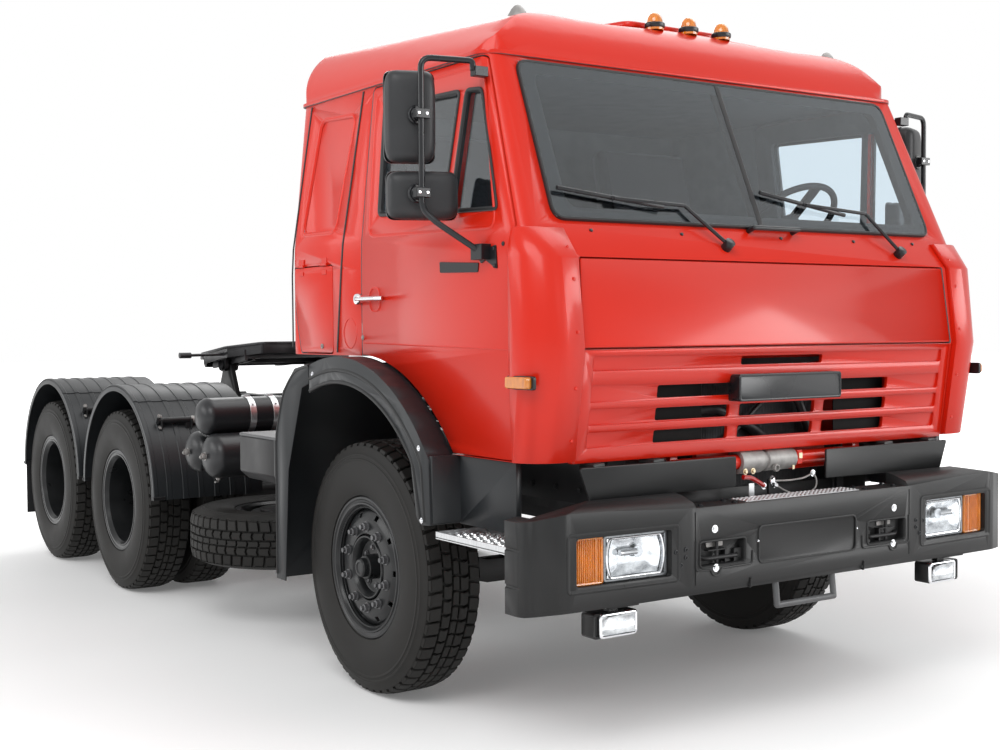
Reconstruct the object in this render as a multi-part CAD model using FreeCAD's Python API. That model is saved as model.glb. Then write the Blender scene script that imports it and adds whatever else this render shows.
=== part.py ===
import FreeCAD, Part
import math
import os

V = FreeCAD.Vector
os.makedirs("parts", exist_ok=True)

# All lengths are millimetres. While the pieces are shaped, y = 0 is the front axle, z = 0 the ground,
# x = 0 the centre plane, forward is -y and the driver's side is +x. Export shifts y to mid-length.
FRONT_AXLE_Y = -1725
REAR_AXLES = (2840, 4160)
BODY_HALF = 1250
REAR_END = 4825
BUMPER_FRONT = -1375
ASIDE = BODY_HALF + 50
AHEAD = BUMPER_FRONT - 25

# clearances: pieces that rest on each other, panes and plates in their openings, opening panels
SEAT_GAP = 0.3
FIT_GAP = 0.5
SHUT_GAP = 6

# wheels
TYRE_R = 520
TYRE_W = 278
RIM_HALF = 108
SEAT_R = 250
RIM_LIP_R = SEAT_R + 42
BARREL_R = SEAT_R - 8
DISC_R = SEAT_R - 4
AXLE_Z = 520
FRONT_TRACK_HALF = BODY_HALF - 235
DUAL_OUTER = BODY_HALF - TYRE_W / 2 - 17
DUAL_INNER = DUAL_OUTER - TYRE_W - 40
NUT_CIRCLE = 335
NUTS = 10
SPINDLE_R = 38
SPINDLE_END = 88
DRIVE_SPINDLE_R = 45
DRIVE_TUBE_R = 68
KINGPIN_X = FRONT_TRACK_HALF - 135
ARM_Y = 170
ARM_LOW = 412
ARM_TOP = 440
PIVOT_R = 24
BALL_PIN_R = 12

# frame
RAIL_OUT = 432
RAIL_DEPTH = 80
RAIL_T = 8
RAIL_LOW = 780
RAIL_TOP = 1020
RAIL_FRONT = -1108
RAIL_REAR = 4790
CROSS_MEMBERS = (1350, 2300, 3500, 4560)
GEARBOX_REAR = 1010
SPRING_X = RAIL_OUT + 88
SPRING_T = 26

# cab: height, half width, front face, front corner radius
CAB_HALF = BODY_HALF - 100
ROOF_HALF = CAB_HALF - 67
CAB_BOTTOM = 1035
GUTTER_Z = 2485
CAB_SECTIONS = (
    (CAB_BOTTOM - 35, CAB_HALF - 11, -1195, 110),
    (CAB_BOTTOM, CAB_HALF - 10, -1200, 110),
    (1425, CAB_HALF, -1257, 110),
    (1735, CAB_HALF, -1222, 105),
    (1850, CAB_HALF - 2, -1130, 80),
    (GUTTER_Z, ROOF_HALF, -852, 60),
)
CAB_REAR = 642
CORNER_FACETS = 7
WALL = 45
WELL_R = 868
FLOOR_Z = AXLE_Z + WELL_R
DECK_Z = FLOOR_Z + WALL + SEAT_GAP
TUNNEL_HALF = 450
NOSE_HALF = 650
DOOR_REAR = -30
DOOR_FRONT = -1098
DOOR_LOW = CAB_BOTTOM + 7
DOOR_TOP = GUTTER_Z - 17
DOOR_INNER = 115 - CAB_HALF
SHIELD_REAR = DOOR_FRONT - 14
SHIELD_IN = CAB_HALF - 176
HINGE_Y = -1165
HINGE_Z = 985
HINGE_X = 500
HINGE_PIN_R = 16

# bumper and its lamps
BUMPER_LOW = 545
BUMPER_TOP = 912
BUMPER_STEP_HALF = 560
BUMPER_STEP_Z = 862
BUMPER_BACK = -1195
BUMPER_WALL = 23
LAMP_Z = 715
LAMP_HALF_Z = 81
LAMP_IN = BODY_HALF - 580
LAMP_SPLIT = BODY_HALF - 303
LAMP_OUT = BODY_HALF - 180
LAMP_BACK = -1317
FOG_X = BODY_HALF - 384
FOG_Z = 480
FOG_FRONT = -1302

# transverse air tanks: y, z, radius
TANKS = ((1673, 1056, 95), (1575, 863, 112), (1806, 869, 104))
TANK_OUT = BODY_HALF - 60
TANK_IN = TANK_OUT - 545

# rear fenders, round centres a little in front of and above the axles
FENDER_R = 617
FENDER_Z = 570
FENDER_AHEAD = 70
FENDER_IN = DUAL_INNER - TYRE_W / 2 - 17
FENDER_RIBS = 6
STAY_R = 18

# middle of the spare wheel, which lies flat
SPARE = (-705, 1600, 450)

# fifth wheel
COUPLER_Y = 3245
COUPLER_Z = 1275
COUPLER_UP = 105
COUPLER_TILT = -6.4
COUPLER_PIN_R = 28
KINGPIN_BORE = 25.5


def box(x0, x1, y0, y1, z0, z1):
    return Part.makeBox(x1 - x0, y1 - y0, z1 - z0, V(x0, y0, z0))


def rod(start, end, radius):
    """Round bar between two points."""
    start, end = V(*start), V(*end)
    return Part.makeCylinder(radius, (end - start).Length, start, end - start)


def both(x0, x1, y0, y1, z0, z1):
    """The same box on the right and on the left side."""
    return pair(box(-x1, -x0, y0, y1, z0, z1))


def bent_rod(points, radius):
    """Round bar through several points, with ball-rounded bends."""
    pieces = [rod(points[i], points[i + 1], radius) for i in range(len(points) - 1)]
    balls = [Part.makeSphere(radius, V(*p)) for p in points[1:-1]]
    return pieces[0].fuse(pieces[1:] + balls) if len(points) > 2 else pieces[0]


def join(shapes):
    shapes = list(shapes)
    return shapes[0].fuse(shapes[1:]).removeSplitter() if len(shapes) > 1 else shapes[0]


def mirrored(shape):
    return shape.mirror(V(0, 0, 0), V(1, 0, 0))


def pair(shape):
    return [shape, mirrored(shape)]


def loop(points, radius, place):
    """Closed wire through flat points with rounded corners; place turns a flat point into a 3-D one."""
    count = len(points)
    radii = radius if isinstance(radius, (list, tuple)) else [radius] * count
    corners = []
    for i in range(count):
        here = V(points[i][0], points[i][1], 0)
        back = (V(points[i - 1][0], points[i - 1][1], 0) - here).normalize()
        ahead = (V(points[(i + 1) % count][0], points[(i + 1) % count][1], 0) - here).normalize()
        half = back.getAngle(ahead) / 2
        if radii[i] < 0.01 or half > 1.565:
            corners.append((here, None, here))
            continue
        reach = radii[i] / math.tan(half)
        centre = here + (back + ahead).normalize() * (radii[i] / math.sin(half))
        middle = centre + (here - centre).normalize() * radii[i]
        corners.append((here + back * reach, middle, here + ahead * reach))
    edges = []
    for i in range(count):
        first, middle, last = [None if p is None else place(p.x, p.y) for p in corners[i]]
        if middle is not None:
            edges.append(Part.Arc(first, middle, last).toShape())
        following = corners[(i + 1) % count][0]
        following = place(following.x, following.y)
        if (following - last).Length > 1e-6:
            edges.append(Part.makeLine(last, following))
    return Part.Wire(edges)


def prism_x(points, x0, x1, radius=0):
    """Outline in (y, z), pushed along x."""
    face = Part.Face(loop(points, radius, lambda a, b: V(x0, a, b)))
    return face.extrude(V(x1 - x0, 0, 0))


def prism_y(points, y0, y1, radius=0):
    """Outline in (x, z), pushed along y."""
    face = Part.Face(loop(points, radius, lambda a, b: V(a, y0, b)))
    return face.extrude(V(0, y1 - y0, 0))


def prism_z(points, z0, z1, radius=0):
    """Outline in (x, y), pushed along z."""
    face = Part.Face(loop(points, radius, lambda a, b: V(a, b, z0)))
    return face.extrude(V(0, 0, z1 - z0))


def grown(points, margin):
    """The outline moved outwards by margin; a negative margin shrinks it."""
    count = len(points)
    area = sum(points[i - 1][0] * points[i][1] - points[i][0] * points[i - 1][1] for i in range(count))
    side = 1 if area > 0 else -1
    lines = []
    for i in range(count):
        (ax, ay), (bx, by) = points[i], points[(i + 1) % count]
        length = math.hypot(bx - ax, by - ay)
        nx, ny = side * (by - ay) / length, -side * (bx - ax) / length
        lines.append((nx, ny, nx * ax + ny * ay + margin))
    result = []
    for i in range(count):
        a, b, c = lines[i - 1]
        d, e, f = lines[i]
        det = a * e - b * d
        if abs(det) < 1e-9:
            result.append((points[i][0] + margin * a, points[i][1] + margin * b))
        else:
            result.append(((c * e - b * f) / det, (a * f - c * d) / det))
    return result


def rect(u, half_u, v, half_v):
    low, high = v - half_v, v + half_v
    return [(u - half_u, low), (u + half_u, low), (u + half_u, high), (u - half_u, high)]


def turned(profile, x=0, y=0, z=0):
    """Solid of revolution about the x direction; profile lists (x, radius)."""
    wire = Part.makePolygon([V(px, 0, pr) for px, pr in profile] + [V(profile[0][0], 0, profile[0][1])])
    solid = Part.Face(wire).revolve(V(0, 0, 0), V(1, 0, 0), 360)
    solid.translate(V(x, y, z))
    return solid


def ring_of(shape, count, y, z):
    """Copies of a shape, turned about the x axis line through (y, z)."""
    copies = []
    for i in range(count):
        copy = shape.copy()
        copy.rotate(V(0, y, z), V(1, 0, 0), 360.0 * i / count)
        copies.append(copy)
    return copies


def plan_points(half, front, rear, r_front, r_rear, z):
    """Rounded rectangle seen from above; each corner is a run of short straight facets."""
    points = []
    corners = ((half, rear, r_rear, 0), (-half, rear, r_rear, 90),
               (-half, front, r_front, 180), (half, front, r_front, 270))
    for x, y, r, start in corners:
        cx = x - r if x > 0 else x + r
        cy = y - r if y == rear else y + r
        for i in range(CORNER_FACETS + 1):
            angle = math.radians(start + 90.0 * i / CORNER_FACETS)
            points.append(V(cx + r * math.cos(angle), cy + r * math.sin(angle), z))
    return points


def plan(half, front, rear, r_front, r_rear, z):
    points = plan_points(half, front, rear, r_front, r_rear, z)
    return Part.makePolygon(points + points[:1])


def cab_walls(inset):
    """Closed solid inside the cab's side, front and rear faces, all flat facets."""
    rings = []
    for z, half, front, corner in CAB_SECTIONS:
        r = max(corner - inset, 8)
        rings.append(plan_points(half - inset, front + inset, CAB_REAR - inset, r, max(60 - inset, 8), z))
    faces = [Part.Face(Part.makePolygon(ring + ring[:1])) for ring in (rings[0], rings[-1])]
    for low, high in zip(rings[:-1], rings[1:]):
        for i in range(len(low)):
            corner = [low[i - 1], low[i], high[i], high[i - 1]]
            faces.append(Part.Face(Part.makePolygon(corner + corner[:1])))
    return Part.makeSolid(Part.makeShell(faces))


def roof_section(points, y, inset):
    side = [(x - inset if x > 0 else 0, z - inset) for x, z in points]
    flat = [(-x, z) for x, z in side] + [(x, z) for x, z in reversed(side[:-1])]
    curve = Part.BSplineCurve()
    curve.interpolate([V(x, y, z) for x, z in flat])
    low = GUTTER_Z - 10
    half = flat[-1][0]
    left, right = V(-half, y, flat[0][1]), V(half, y, flat[-1][1])
    under = Part.makePolygon([right, V(half, y, low), V(-half, y, low), left])
    return Part.Wire([curve.toShape()] + under.Edges)


# half outline of the roof at two places along the cab
ROOF_FRONT = ((ROOF_HALF, 2492), (ROOF_HALF - 37, 2545), (ROOF_HALF - 98, 2596),
              (ROOF_HALF - 183, 2648), (ROOF_HALF - 483, 2672), (0, 2692))
ROOF_REAR = ((ROOF_HALF, 2514), (ROOF_HALF - 43, 2635), (ROOF_HALF - 138, 2730),
             (ROOF_HALF - 233, 2757), (ROOF_HALF - 523, 2784), (0, 2805))
ROOF_Y = (-708, CAB_REAR - 2)


def cab_roof(inset):
    """Domed roof that rises to the rear, with its rounded front edge."""
    length = ROOF_Y[1] - ROOF_Y[0]
    slope = [((b[0] - a[0]) / length, (b[1] - a[1]) / length) for a, b in zip(ROOF_FRONT, ROOF_REAR)]
    sections = []
    for reach in (-200, 1400):
        points = [(a[0] + s[0] * reach, a[1] + s[1] * reach) for a, s in zip(ROOF_FRONT, slope)]
        sections.append(roof_section(points, ROOF_Y[0] + reach, inset))
    long = Part.makeLoft(sections, True, True)
    nose = [(-856, GUTTER_Z), (-832, 2560), (-790, 2634), (-742, 2675), (-690, 2699)]
    nose = [(y + inset * 0.9, z - inset * 0.6) for y, z in nose]
    curve = Part.BSplineCurve()
    curve.interpolate([V(-ASIDE, y, z) for y, z in nose])
    back = CAB_REAR - inset
    rest = Part.makePolygon([V(-ASIDE, nose[-1][0], nose[-1][1]), V(-ASIDE, back, 2950),
                             V(-ASIDE, back, GUTTER_Z - 40), V(-ASIDE, nose[0][0], GUTTER_Z - 40),
                             V(-ASIDE, nose[0][0], nose[0][1])])
    side_view = Part.Face(Part.Wire([curve.toShape()] + rest.Edges)).extrude(V(2 * ASIDE, 0, 0))
    above = Part.Face(plan(ROOF_HALF - inset, -856 + inset, back, 130, max(60 - inset, 8), GUTTER_Z))
    return long.common(side_view).common(above.extrude(V(0, 0, 500)))


def cab_body(inset):
    """The whole cab as one solid, with its outer faces moved inwards by inset."""
    well = rod((-ASIDE, 0, AXLE_Z), (ASIDE, 0, AXLE_Z), WELL_R + inset)
    under = box(-ASIDE, ASIDE, 0, 1000, 0, FLOOR_Z + inset)
    sill = box(-ASIDE, ASIDE, AHEAD, 1000, 0, CAB_BOTTOM + inset)
    tunnel = box(-TUNNEL_HALF - inset, TUNNEL_HALF + inset, AHEAD, 1000, 0, FLOOR_Z - 13 + inset)
    nose = box(-NOSE_HALF - inset, NOSE_HALF + inset, AHEAD, -1120 + inset, 0, FLOOR_Z + 12 + inset)
    body = cab_walls(inset).fuse(cab_roof(inset))
    return body.cut([well, under, sill, tunnel, nose])


def skin(outer, inner):
    """Layer of the cab wall between two depths."""
    return cab_walls(outer).cut(cab_walls(inner))


# outlines on the cab: front ones in (x, z), side ones in (y, z)
SCREEN_HALF = CAB_HALF - 190
SCREEN_LOW = 1872
WINDSCREEN = [(-SCREEN_HALF, SCREEN_LOW), (SCREEN_HALF, SCREEN_LOW),
              (SCREEN_HALF - 12, DOOR_TOP), (12 - SCREEN_HALF, DOOR_TOP)]
SEAL_W = 45
BAR_HALF = 14
PANEL_T = 25
LID_T = 20
LID_HALF = CAB_HALF - 187
LID = [(-LID_HALF, 1427), (LID_HALF, 1427), (LID_HALF - 15, 1733), (15 - LID_HALF, 1733)]
GRILLE = [(-LID_HALF - 7, 1028), (LID_HALF + 7, 1028), (LID_HALF, 1418), (-LID_HALF, 1418)]
GRILLE_BANDS = ((1371.5, 26), (1267, 31), (1186, 29), (1105, 28))
GRILLE_ENDS = CAB_HALF - 235
DOOR = [(DOOR_FRONT, DOOR_LOW), (DOOR_REAR, DOOR_LOW), (DOOR_REAR, DOOR_TOP), (-838, DOOR_TOP),
        (DOOR_FRONT, 1846)]
MAIN_WINDOW = [(-650, 1926), (-150, 1944), (-128, 2385), (-702, 2366)]
VENT_WINDOW = [(-1010, 1906), (-690, 1918), (-738, 2364), (-848, 2354)]
SLEEPER_RECESS = [(218, 1905), (529, 1910), (430, 2397), (118, 2383)]
LOCKER_LOW = FLOOR_Z + 10
ARCH_RISE = 480
WHEEL_X = 520
SKIRT_X = 50 - CAB_HALF
LOCKER = [(232, LOCKER_LOW), (532, LOCKER_LOW), (600, 1640), (600, 1764), (232, 1764)]


def right_prism(outline, radius=0):
    return prism_x(outline, -ASIDE - 100, 250 - CAB_HALF, radius)


def front_prism(outline, radius=0, rear=-700):
    return prism_y(outline, AHEAD, rear, radius)


def cab_shell():
    """Hollow cab with its openings, recesses, gutter and the tilt hinge at the front."""
    shell = cab_body(0).cut(cab_body(WALL))
    cuts = [front_prism(WINDSCREEN, 80)]
    outside, deep = cab_walls(-60), cab_walls(WALL + 5)
    doorway = prism_x(grown(DOOR, SHUT_GAP), -ASIDE, DOOR_INNER + SHUT_GAP, 30).cut(deep)
    locker = right_prism(grown(LOCKER, SHUT_GAP), 20).cut(cab_walls(LID_T + SHUT_GAP))
    recess = right_prism(SLEEPER_RECESS, 40).cut(cab_walls(8))
    cuts += pair(doorway) + pair(locker) + pair(recess)
    lid_room = outside.cut(cab_walls(PANEL_T + 5))
    panel_room = outside.cut(cab_walls(PANEL_T + FIT_GAP))
    cuts.append(front_prism(grown(LID, SHUT_GAP), 10, -1000).common(lid_room))
    cuts.append(front_prism(grown(GRILLE, FIT_GAP), 0, -1000).common(panel_room))
    lip = Part.Face(plan(ROOF_HALF + 13, -866, CAB_REAR + 11, 92, 70, GUTTER_Z - 6)).extrude(V(0, 0, 14))
    hole = Part.Face(plan(ROOF_HALF - 15, -838, CAB_REAR - 15, 66, 45, GUTTER_Z - 6)).extrude(V(0, 0, 14))
    shell = shell.cut(cuts).fuse(lip.cut(hole))
    ears = both(468, 504, HINGE_Y - 6, HINGE_Y + 50, HINGE_Z - 26, CAB_BOTTOM + 20)
    beam = rod((-HINGE_X, HINGE_Y, HINGE_Z), (HINGE_X, HINGE_Y, HINGE_Z), HINGE_PIN_R + 12)
    pins = pair(rod((-HINGE_X, HINGE_Y, HINGE_Z), (-HINGE_X - 66, HINGE_Y, HINGE_Z), HINGE_PIN_R))
    return shell.fuse(ears + [beam] + pins).removeSplitter()


def grille_panel():
    """Front panel with four pressed bands, their cooling slots and the plain plate in the middle."""
    panel = skin(0, PANEL_T).common(front_prism(GRILLE, 0, -1000))
    bands = [front_prism(rect(0, GRILLE_ENDS, z, half), 8, -1000) for z, half in GRILLE_BANDS]
    panel = panel.cut([band.cut(cab_walls(9)) for band in bands])
    top, second, third, fourth = [z for z, half in GRILLE_BANDS]
    slots = [rect(0, 215, top, 16.5), rect(-418, 192, second, 23), rect(418, 192, second, 23)]
    for z in (third, fourth):
        slots += [rect(x, half, z, 23) for x, half in ((-430, 180), (0, 200), (430, 180))]
    panel = panel.cut([front_prism(slot, 9, -1000) for slot in slots])
    badge = prism_y(rect(0, 270, second + 4, 50), -1288, -1180, 12)
    return [panel, badge.cut(cab_walls(-SEAT_GAP))]


def front_lid():
    return skin(0, PANEL_T).common(front_prism(LID, 8, -1000))


def corner_panels():
    """Air deflectors that stand off in front of the doors."""
    zone = box(-ASIDE, -SHIELD_IN, AHEAD, SHIELD_REAR, CAB_BOTTOM + 2, 1840)
    return pair(cab_walls(-25).cut(cab_walls(-1)).common(zone))


def right_pane():
    inner = grown(WINDSCREEN, -SEAL_W)
    outer_low, outer_high = inner[0], inner[3]
    return [outer_low, (-BAR_HALF, outer_low[1]), (-BAR_HALF, outer_high[1]), outer_high]


def windscreen_seal():
    ring = front_prism(grown(WINDSCREEN, -FIT_GAP), 79)
    ring = ring.cut(pair(front_prism(right_pane(), [45, 6, 6, 45])))
    return ring.common(skin(-7, 28))


def windscreen_glass():
    pane = front_prism(grown(right_pane(), -FIT_GAP), [45, 6, 6, 45])
    return pair(skin(6, 12).common(pane))


def door():
    panel = skin(0, WALL).common(prism_x(DOOR, -ASIDE, DOOR_INNER, 24))
    arch = rod((-ASIDE, 0, AXLE_Z), (250 - CAB_HALF, 0, AXLE_Z), WELL_R + SHUT_GAP)
    return panel.cut([arch, right_prism(MAIN_WINDOW, 25), right_prism(VENT_WINDOW, 22)])


def door_glass():
    layer = skin(18, 23)
    return [layer.common(right_prism(grown(MAIN_WINDOW, -FIT_GAP), 25)),
            layer.common(right_prism(grown(VENT_WINDOW, -FIT_GAP), 22))]


def locker_lid():
    return skin(0, LID_T).common(right_prism(LOCKER, 16))


def mirror_head(x, y, z, width, height, depth):
    points = rect(0, width / 2, 0, height / 2)
    head = prism_y(points, -depth / 2, depth / 2, 28)
    head.rotate(V(0, 0, 0), V(0, 0, 1), -22.7)
    head.translate(V(x, y, z))
    return head


def mirror():
    """Tube bracket off the door with a large and a small mirror head."""
    post_x, post_y = -CAB_HALF - 183, -818
    top, low = (54 - CAB_HALF, -868, 2405), (-CAB_HALF - 3, -940, 1762)
    tube = bent_rod([top, (20 - CAB_HALF, -868, 2438), (post_x, post_y, 2440), (post_x, post_y, 1915),
                     (post_x + 33, -850, 1870), (-CAB_HALF - 25, -940, 1765), low], 11)
    upper = box(top[0] - 54, top[0] - 10, -885, -850, 2385, 2425)
    lower = box(low[0] - 37, low[0] + 8, -975, -905, 1735, 1790)
    big_z, small_z = 2245, 1971
    heads = [mirror_head(post_x, -742, big_z, 180, 323, 72)]
    heads.append(mirror_head(post_x + 51, -738, small_z, 254, 171, 72))
    links = [rod((post_x, post_y, z), (post_x, -760, z), 26) for z in (big_z, small_z)]
    return join([tube, upper, lower] + heads + links).cut(cab_walls(-SEAT_GAP))


def wipers():
    """Two wiper arms with their blades, and the hand rail between them."""
    right = ((-237, -1196, 1800), (-388, -1122, 1944), (-958, -1102, 1984), (-495, -1126, 1934))
    left = ((719, -1199, 1796), (602, -1116, 1955), (31, -1086, 2016), (470, -1122, 1943))
    made = []
    for pivot, elbow, tip, heel in (right, left):
        middle = tuple((a + b) / 2 for a, b in zip(tip, heel))
        lifted = (middle[0], middle[1] - 14, middle[2] - 4)
        arm = bent_rod([pivot, elbow, lifted], 7)
        base = rod((pivot[0], pivot[1] - 12, pivot[2] + 10), (pivot[0], pivot[1] + 60, pivot[2] - 48), 20)
        made.append(join([arm, rod(tip, heel, 8), base, rod(lifted, middle, 8)]).cut(cab_walls(-1)))
    rail = bent_rod([(-70, -1120, 1858), (-70, -1160, 1872), (165, -1160, 1872), (165, -1120, 1858)], 10)
    return made + [rail.cut(cab_walls(-1))]


def well_ring(outer, inner, x0, x1, front, rear):
    """Upper part of a ring about the front axle, between two places along the cab."""
    disc = rod((x0, 0, AXLE_Z), (x1, 0, AXLE_Z), outer)
    ring = disc.cut(rod((x0 - 1, 0, AXLE_Z), (x1 + 1, 0, AXLE_Z), inner))
    return ring.common(box(x0, x1, front, rear, AXLE_Z + ARCH_RISE, AXLE_Z + WELL_R + 100))


def cab_arches():
    """Wheel arch lips under the cab side, with the tail and the skirt in front of the wheel."""
    outer, inner = WELL_R - 2, WELL_R - 112
    front, rear, low = 160 - WELL_R, 259, AXLE_Z + ARCH_RISE
    x0, x1 = -BODY_HALF, 110 - CAB_HALF
    tail = [(front, low + 1), (front - 8, 783), (front + 57, 779), (front + 88, 800), (front + 128, low + 1)]
    lip = well_ring(outer, inner, x0, x1, front, rear).fuse(prism_x(tail, x0, x1, [0, 10, 10, 40, 0]))
    tail_room = [(front + 22, low + 2), (front + 14, 770), (front + 200, 770), (front + 200, low + 2)]
    room = well_ring(outer - 22, inner - 100, x0 + 14, ASIDE, front + 22, rear + 1)
    lip = lip.cut([room, prism_x(tail_room, x0 + 14, ASIDE)])
    walls = cab_walls(-SEAT_GAP).common(box(-ASIDE, ASIDE, AHEAD, 1000, CAB_BOTTOM - SEAT_GAP, 3000))
    skirt = box(SKIRT_X - 22, SKIRT_X, -1080, front - 8, 782, CAB_BOTTOM - SEAT_GAP)
    link = box(x0 + 8, SKIRT_X, front - 14, front + 8, 790, CAB_BOTTOM - SEAT_GAP)
    return pair(join([lip.cut(walls), skirt, link]))


def valances():
    """Two plates hung under the front edge of the cab, each on two angle tabs."""
    plate = prism_y([(-240, 1016), (-240, 902), (-925, 902), (-968, 1016)], -1240, -1230, 8)
    tabs = []
    for x in (-610, -880):
        tabs.append(box(x - 25, x + 25, -1235, -1150, 1006, CAB_BOTTOM - 8))
        tabs.append(box(x - 25, x + 25, -1168, -1150, 1006, CAB_BOTTOM - SEAT_GAP))
    return pair(join([plate] + tabs))


def roof_hatch():
    """Low hatch lid that follows the roof."""
    lid = prism_z(rect(0, 262, -370, 270), 2600, 2800, 40)
    return lid.common(cab_roof(-32)).cut(cab_roof(-SEAT_GAP))


def roof_lamps():
    """Three beacons on the roof's front edge, one cone at each corner, and the side repeaters."""
    lamps = []
    for x in (-180, 0, 180):
        side = [(-735, 2600), (-685, 2600), (-690, 2731), (-722, 2731)]
        lamps.append(prism_x(side, x - 38, x + 38, [0, 0, 12, 16]))
    lamps += pair(Part.makeCone(34, 12, 130, V(251 - ROOF_HALF, -690, 2586)))
    lamps = [lamp.cut(cab_roof(-SEAT_GAP)) for lamp in lamps]
    repeater = box(-CAB_HALF - 80, 20 - CAB_HALF, -1290, -1135, 1285, 1340)
    return lamps + pair(repeater.common(cab_walls(-48)).cut(cab_walls(-25 - SEAT_GAP)))


def seats():
    """Two seats on their boxes and the bunk behind them."""
    made = []
    for x in (-520, 520):
        base = box(x - 210, x + 210, -330, 130, DECK_Z, DECK_Z + 224)
        cushion = prism_x(rect(-100, 250, DECK_Z + 289, 65), x - 250, x + 250, 40)
        back = [(60, DECK_Z + 344), (190, DECK_Z + 344), (300, DECK_Z + 894), (190, DECK_Z + 909)]
        made.append(join([base, cushion, prism_x(back, x - 240, x + 240, 35)]))
    bunk = prism_y(rect(0, CAB_HALF - 140, DECK_Z + 284, 70), 330, 590, 40)
    return made + [join([bunk] + both(640, 760, 360, 560, DECK_Z, DECK_Z + 224))]


def dashboard():
    profile = [(-1105, DECK_Z), (-1085, 1838), (-960, 1850), (-880, 1800), (-900, 1640), (-1000, 1560),
               (-1010, DECK_Z)]
    board = prism_x(profile, 130 - CAB_HALF, CAB_HALF - 130, [5, 10, 30, 30, 30, 30, 5])
    column = rod((WHEEL_X, -1010, 1640), (WHEEL_X, -792, 1891), 34)
    return board.fuse(column).common(cab_body(WALL + SEAT_GAP)).removeSplitter()


def steering_wheel():
    rim = Part.makeTorus(225, 14)
    spokes = [box(-220, 220, -22, 22, -12, 4), box(-22, 22, -220, 0, -12, 4)]
    hub = Part.makeCylinder(52, 60, V(0, 0, -50))
    wheel = join([rim, hub] + spokes)
    wheel.rotate(V(0, 0, 0), V(1, 0, 0), -41)
    wheel.translate(V(WHEEL_X, -755, 1933))
    return wheel


def tyre(centre):
    """One tyre with its seats on the rim, bulged side walls and a slightly round shoulder."""
    half = TYRE_W / 2
    side = [(RIM_HALF - 18, SEAT_R + 10), (RIM_HALF, SEAT_R + 6.5), (RIM_HALF, RIM_LIP_R + 1),
            (half - 12, RIM_LIP_R + 28), (half, RIM_LIP_R + 93), (half - 8, TYRE_R - 80),
            (half - 26, TYRE_R - 30), (half - 34, TYRE_R - 8), (half - 60, TYRE_R)]
    profile = side + [(-x, r) for x, r in reversed(side)]
    return turned(profile, centre, 0, AXLE_Z)


def rim_barrel(centre):
    edge = RIM_HALF + 12
    side = [(RIM_HALF, BARREL_R), (edge, SEAT_R + 12), (edge, RIM_LIP_R), (RIM_HALF + 1, RIM_LIP_R),
            (RIM_HALF + 1, SEAT_R + 6), (RIM_HALF - 16, SEAT_R + 3)]
    profile = side + [(-x, r) for x, r in reversed(side)]
    return turned(profile, centre, 0, AXLE_Z)


def wheel_disc(centre):
    """Bulged disc with a flat nut face and hand holes near its edge."""
    disc = turned([(-30, DISC_R), (-80, DISC_R - 10), (-104, SEAT_R - 50), (-104, 136), (-92, 136),
                   (-92, SEAT_R - 54), (-68, SEAT_R - 24), (-18, DISC_R)], centre, 0, AXLE_Z)
    reach = AXLE_Z + SEAT_R - 36
    hole = rod((centre - 120, 0, reach), (centre - 10, 0, reach), 13)
    hole.rotate(V(0, 0, AXLE_Z), V(1, 0, 0), 180.0 / NUTS)
    return disc.cut(ring_of(hole, NUTS, 0, AXLE_Z))


def wheel_nuts(start, end):
    height = AXLE_Z + NUT_CIRCLE / 2
    return ring_of(rod((start, 0, height), (end, 0, height), 17), NUTS, 0, AXLE_Z)


def front_rim():
    """Right front wheel: barrel, bulged disc, drum and hub with its small cap, and the nuts."""
    c = -FRONT_TRACK_HALF
    bore = SPINDLE_R + FIT_GAP
    hub = turned([(60, bore), (60, SEAT_R - 45), (-40, SEAT_R - 45), (-40, 150), (-92, 150), (-92, 134),
                  (-106, 130), (-120, 120), (-120, 106), (-102, 98), (-98, 39), (-140, 39), (-147, 30),
                  (-147, 0), (-SPINDLE_END, 0), (-SPINDLE_END, bore)], c, 0, AXLE_Z)
    return join([rim_barrel(c), wheel_disc(c), hub] + wheel_nuts(c - 103, c - 132))


def dual_rims():
    """Right drive wheels: two barrels, dished discs back to back, drum and hub."""
    mid = -(DUAL_INNER + DUAL_OUTER) / 2
    bore, drum = DRIVE_SPINDLE_R + FIT_GAP, SEAT_R - 45
    dish = [(2, 138), (2, drum), (45, SEAT_R - 10), (70, DISC_R), (82, DISC_R), (54, SEAT_R - 17),
            (14, SEAT_R - 52), (14, 138)]
    hub = turned([(270, bore), (270, drum), (90, drum), (90, 150), (14, 150), (14, 180), (-14, 180),
                  (-14, 136), (-120, 120), (-150, 108), (-150, 96), (-160, 60), (-160, 0), (-120, 0),
                  (-120, bore)], mid, 0, AXLE_Z)
    discs = [turned([(side * x, r) for x, r in dish], mid, 0, AXLE_Z) for side in (-1, 1)]
    barrels = [rim_barrel(-DUAL_INNER), rim_barrel(-DUAL_OUTER)]
    return join(barrels + [hub] + discs + wheel_nuts(mid - 14, mid - 48))


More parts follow.
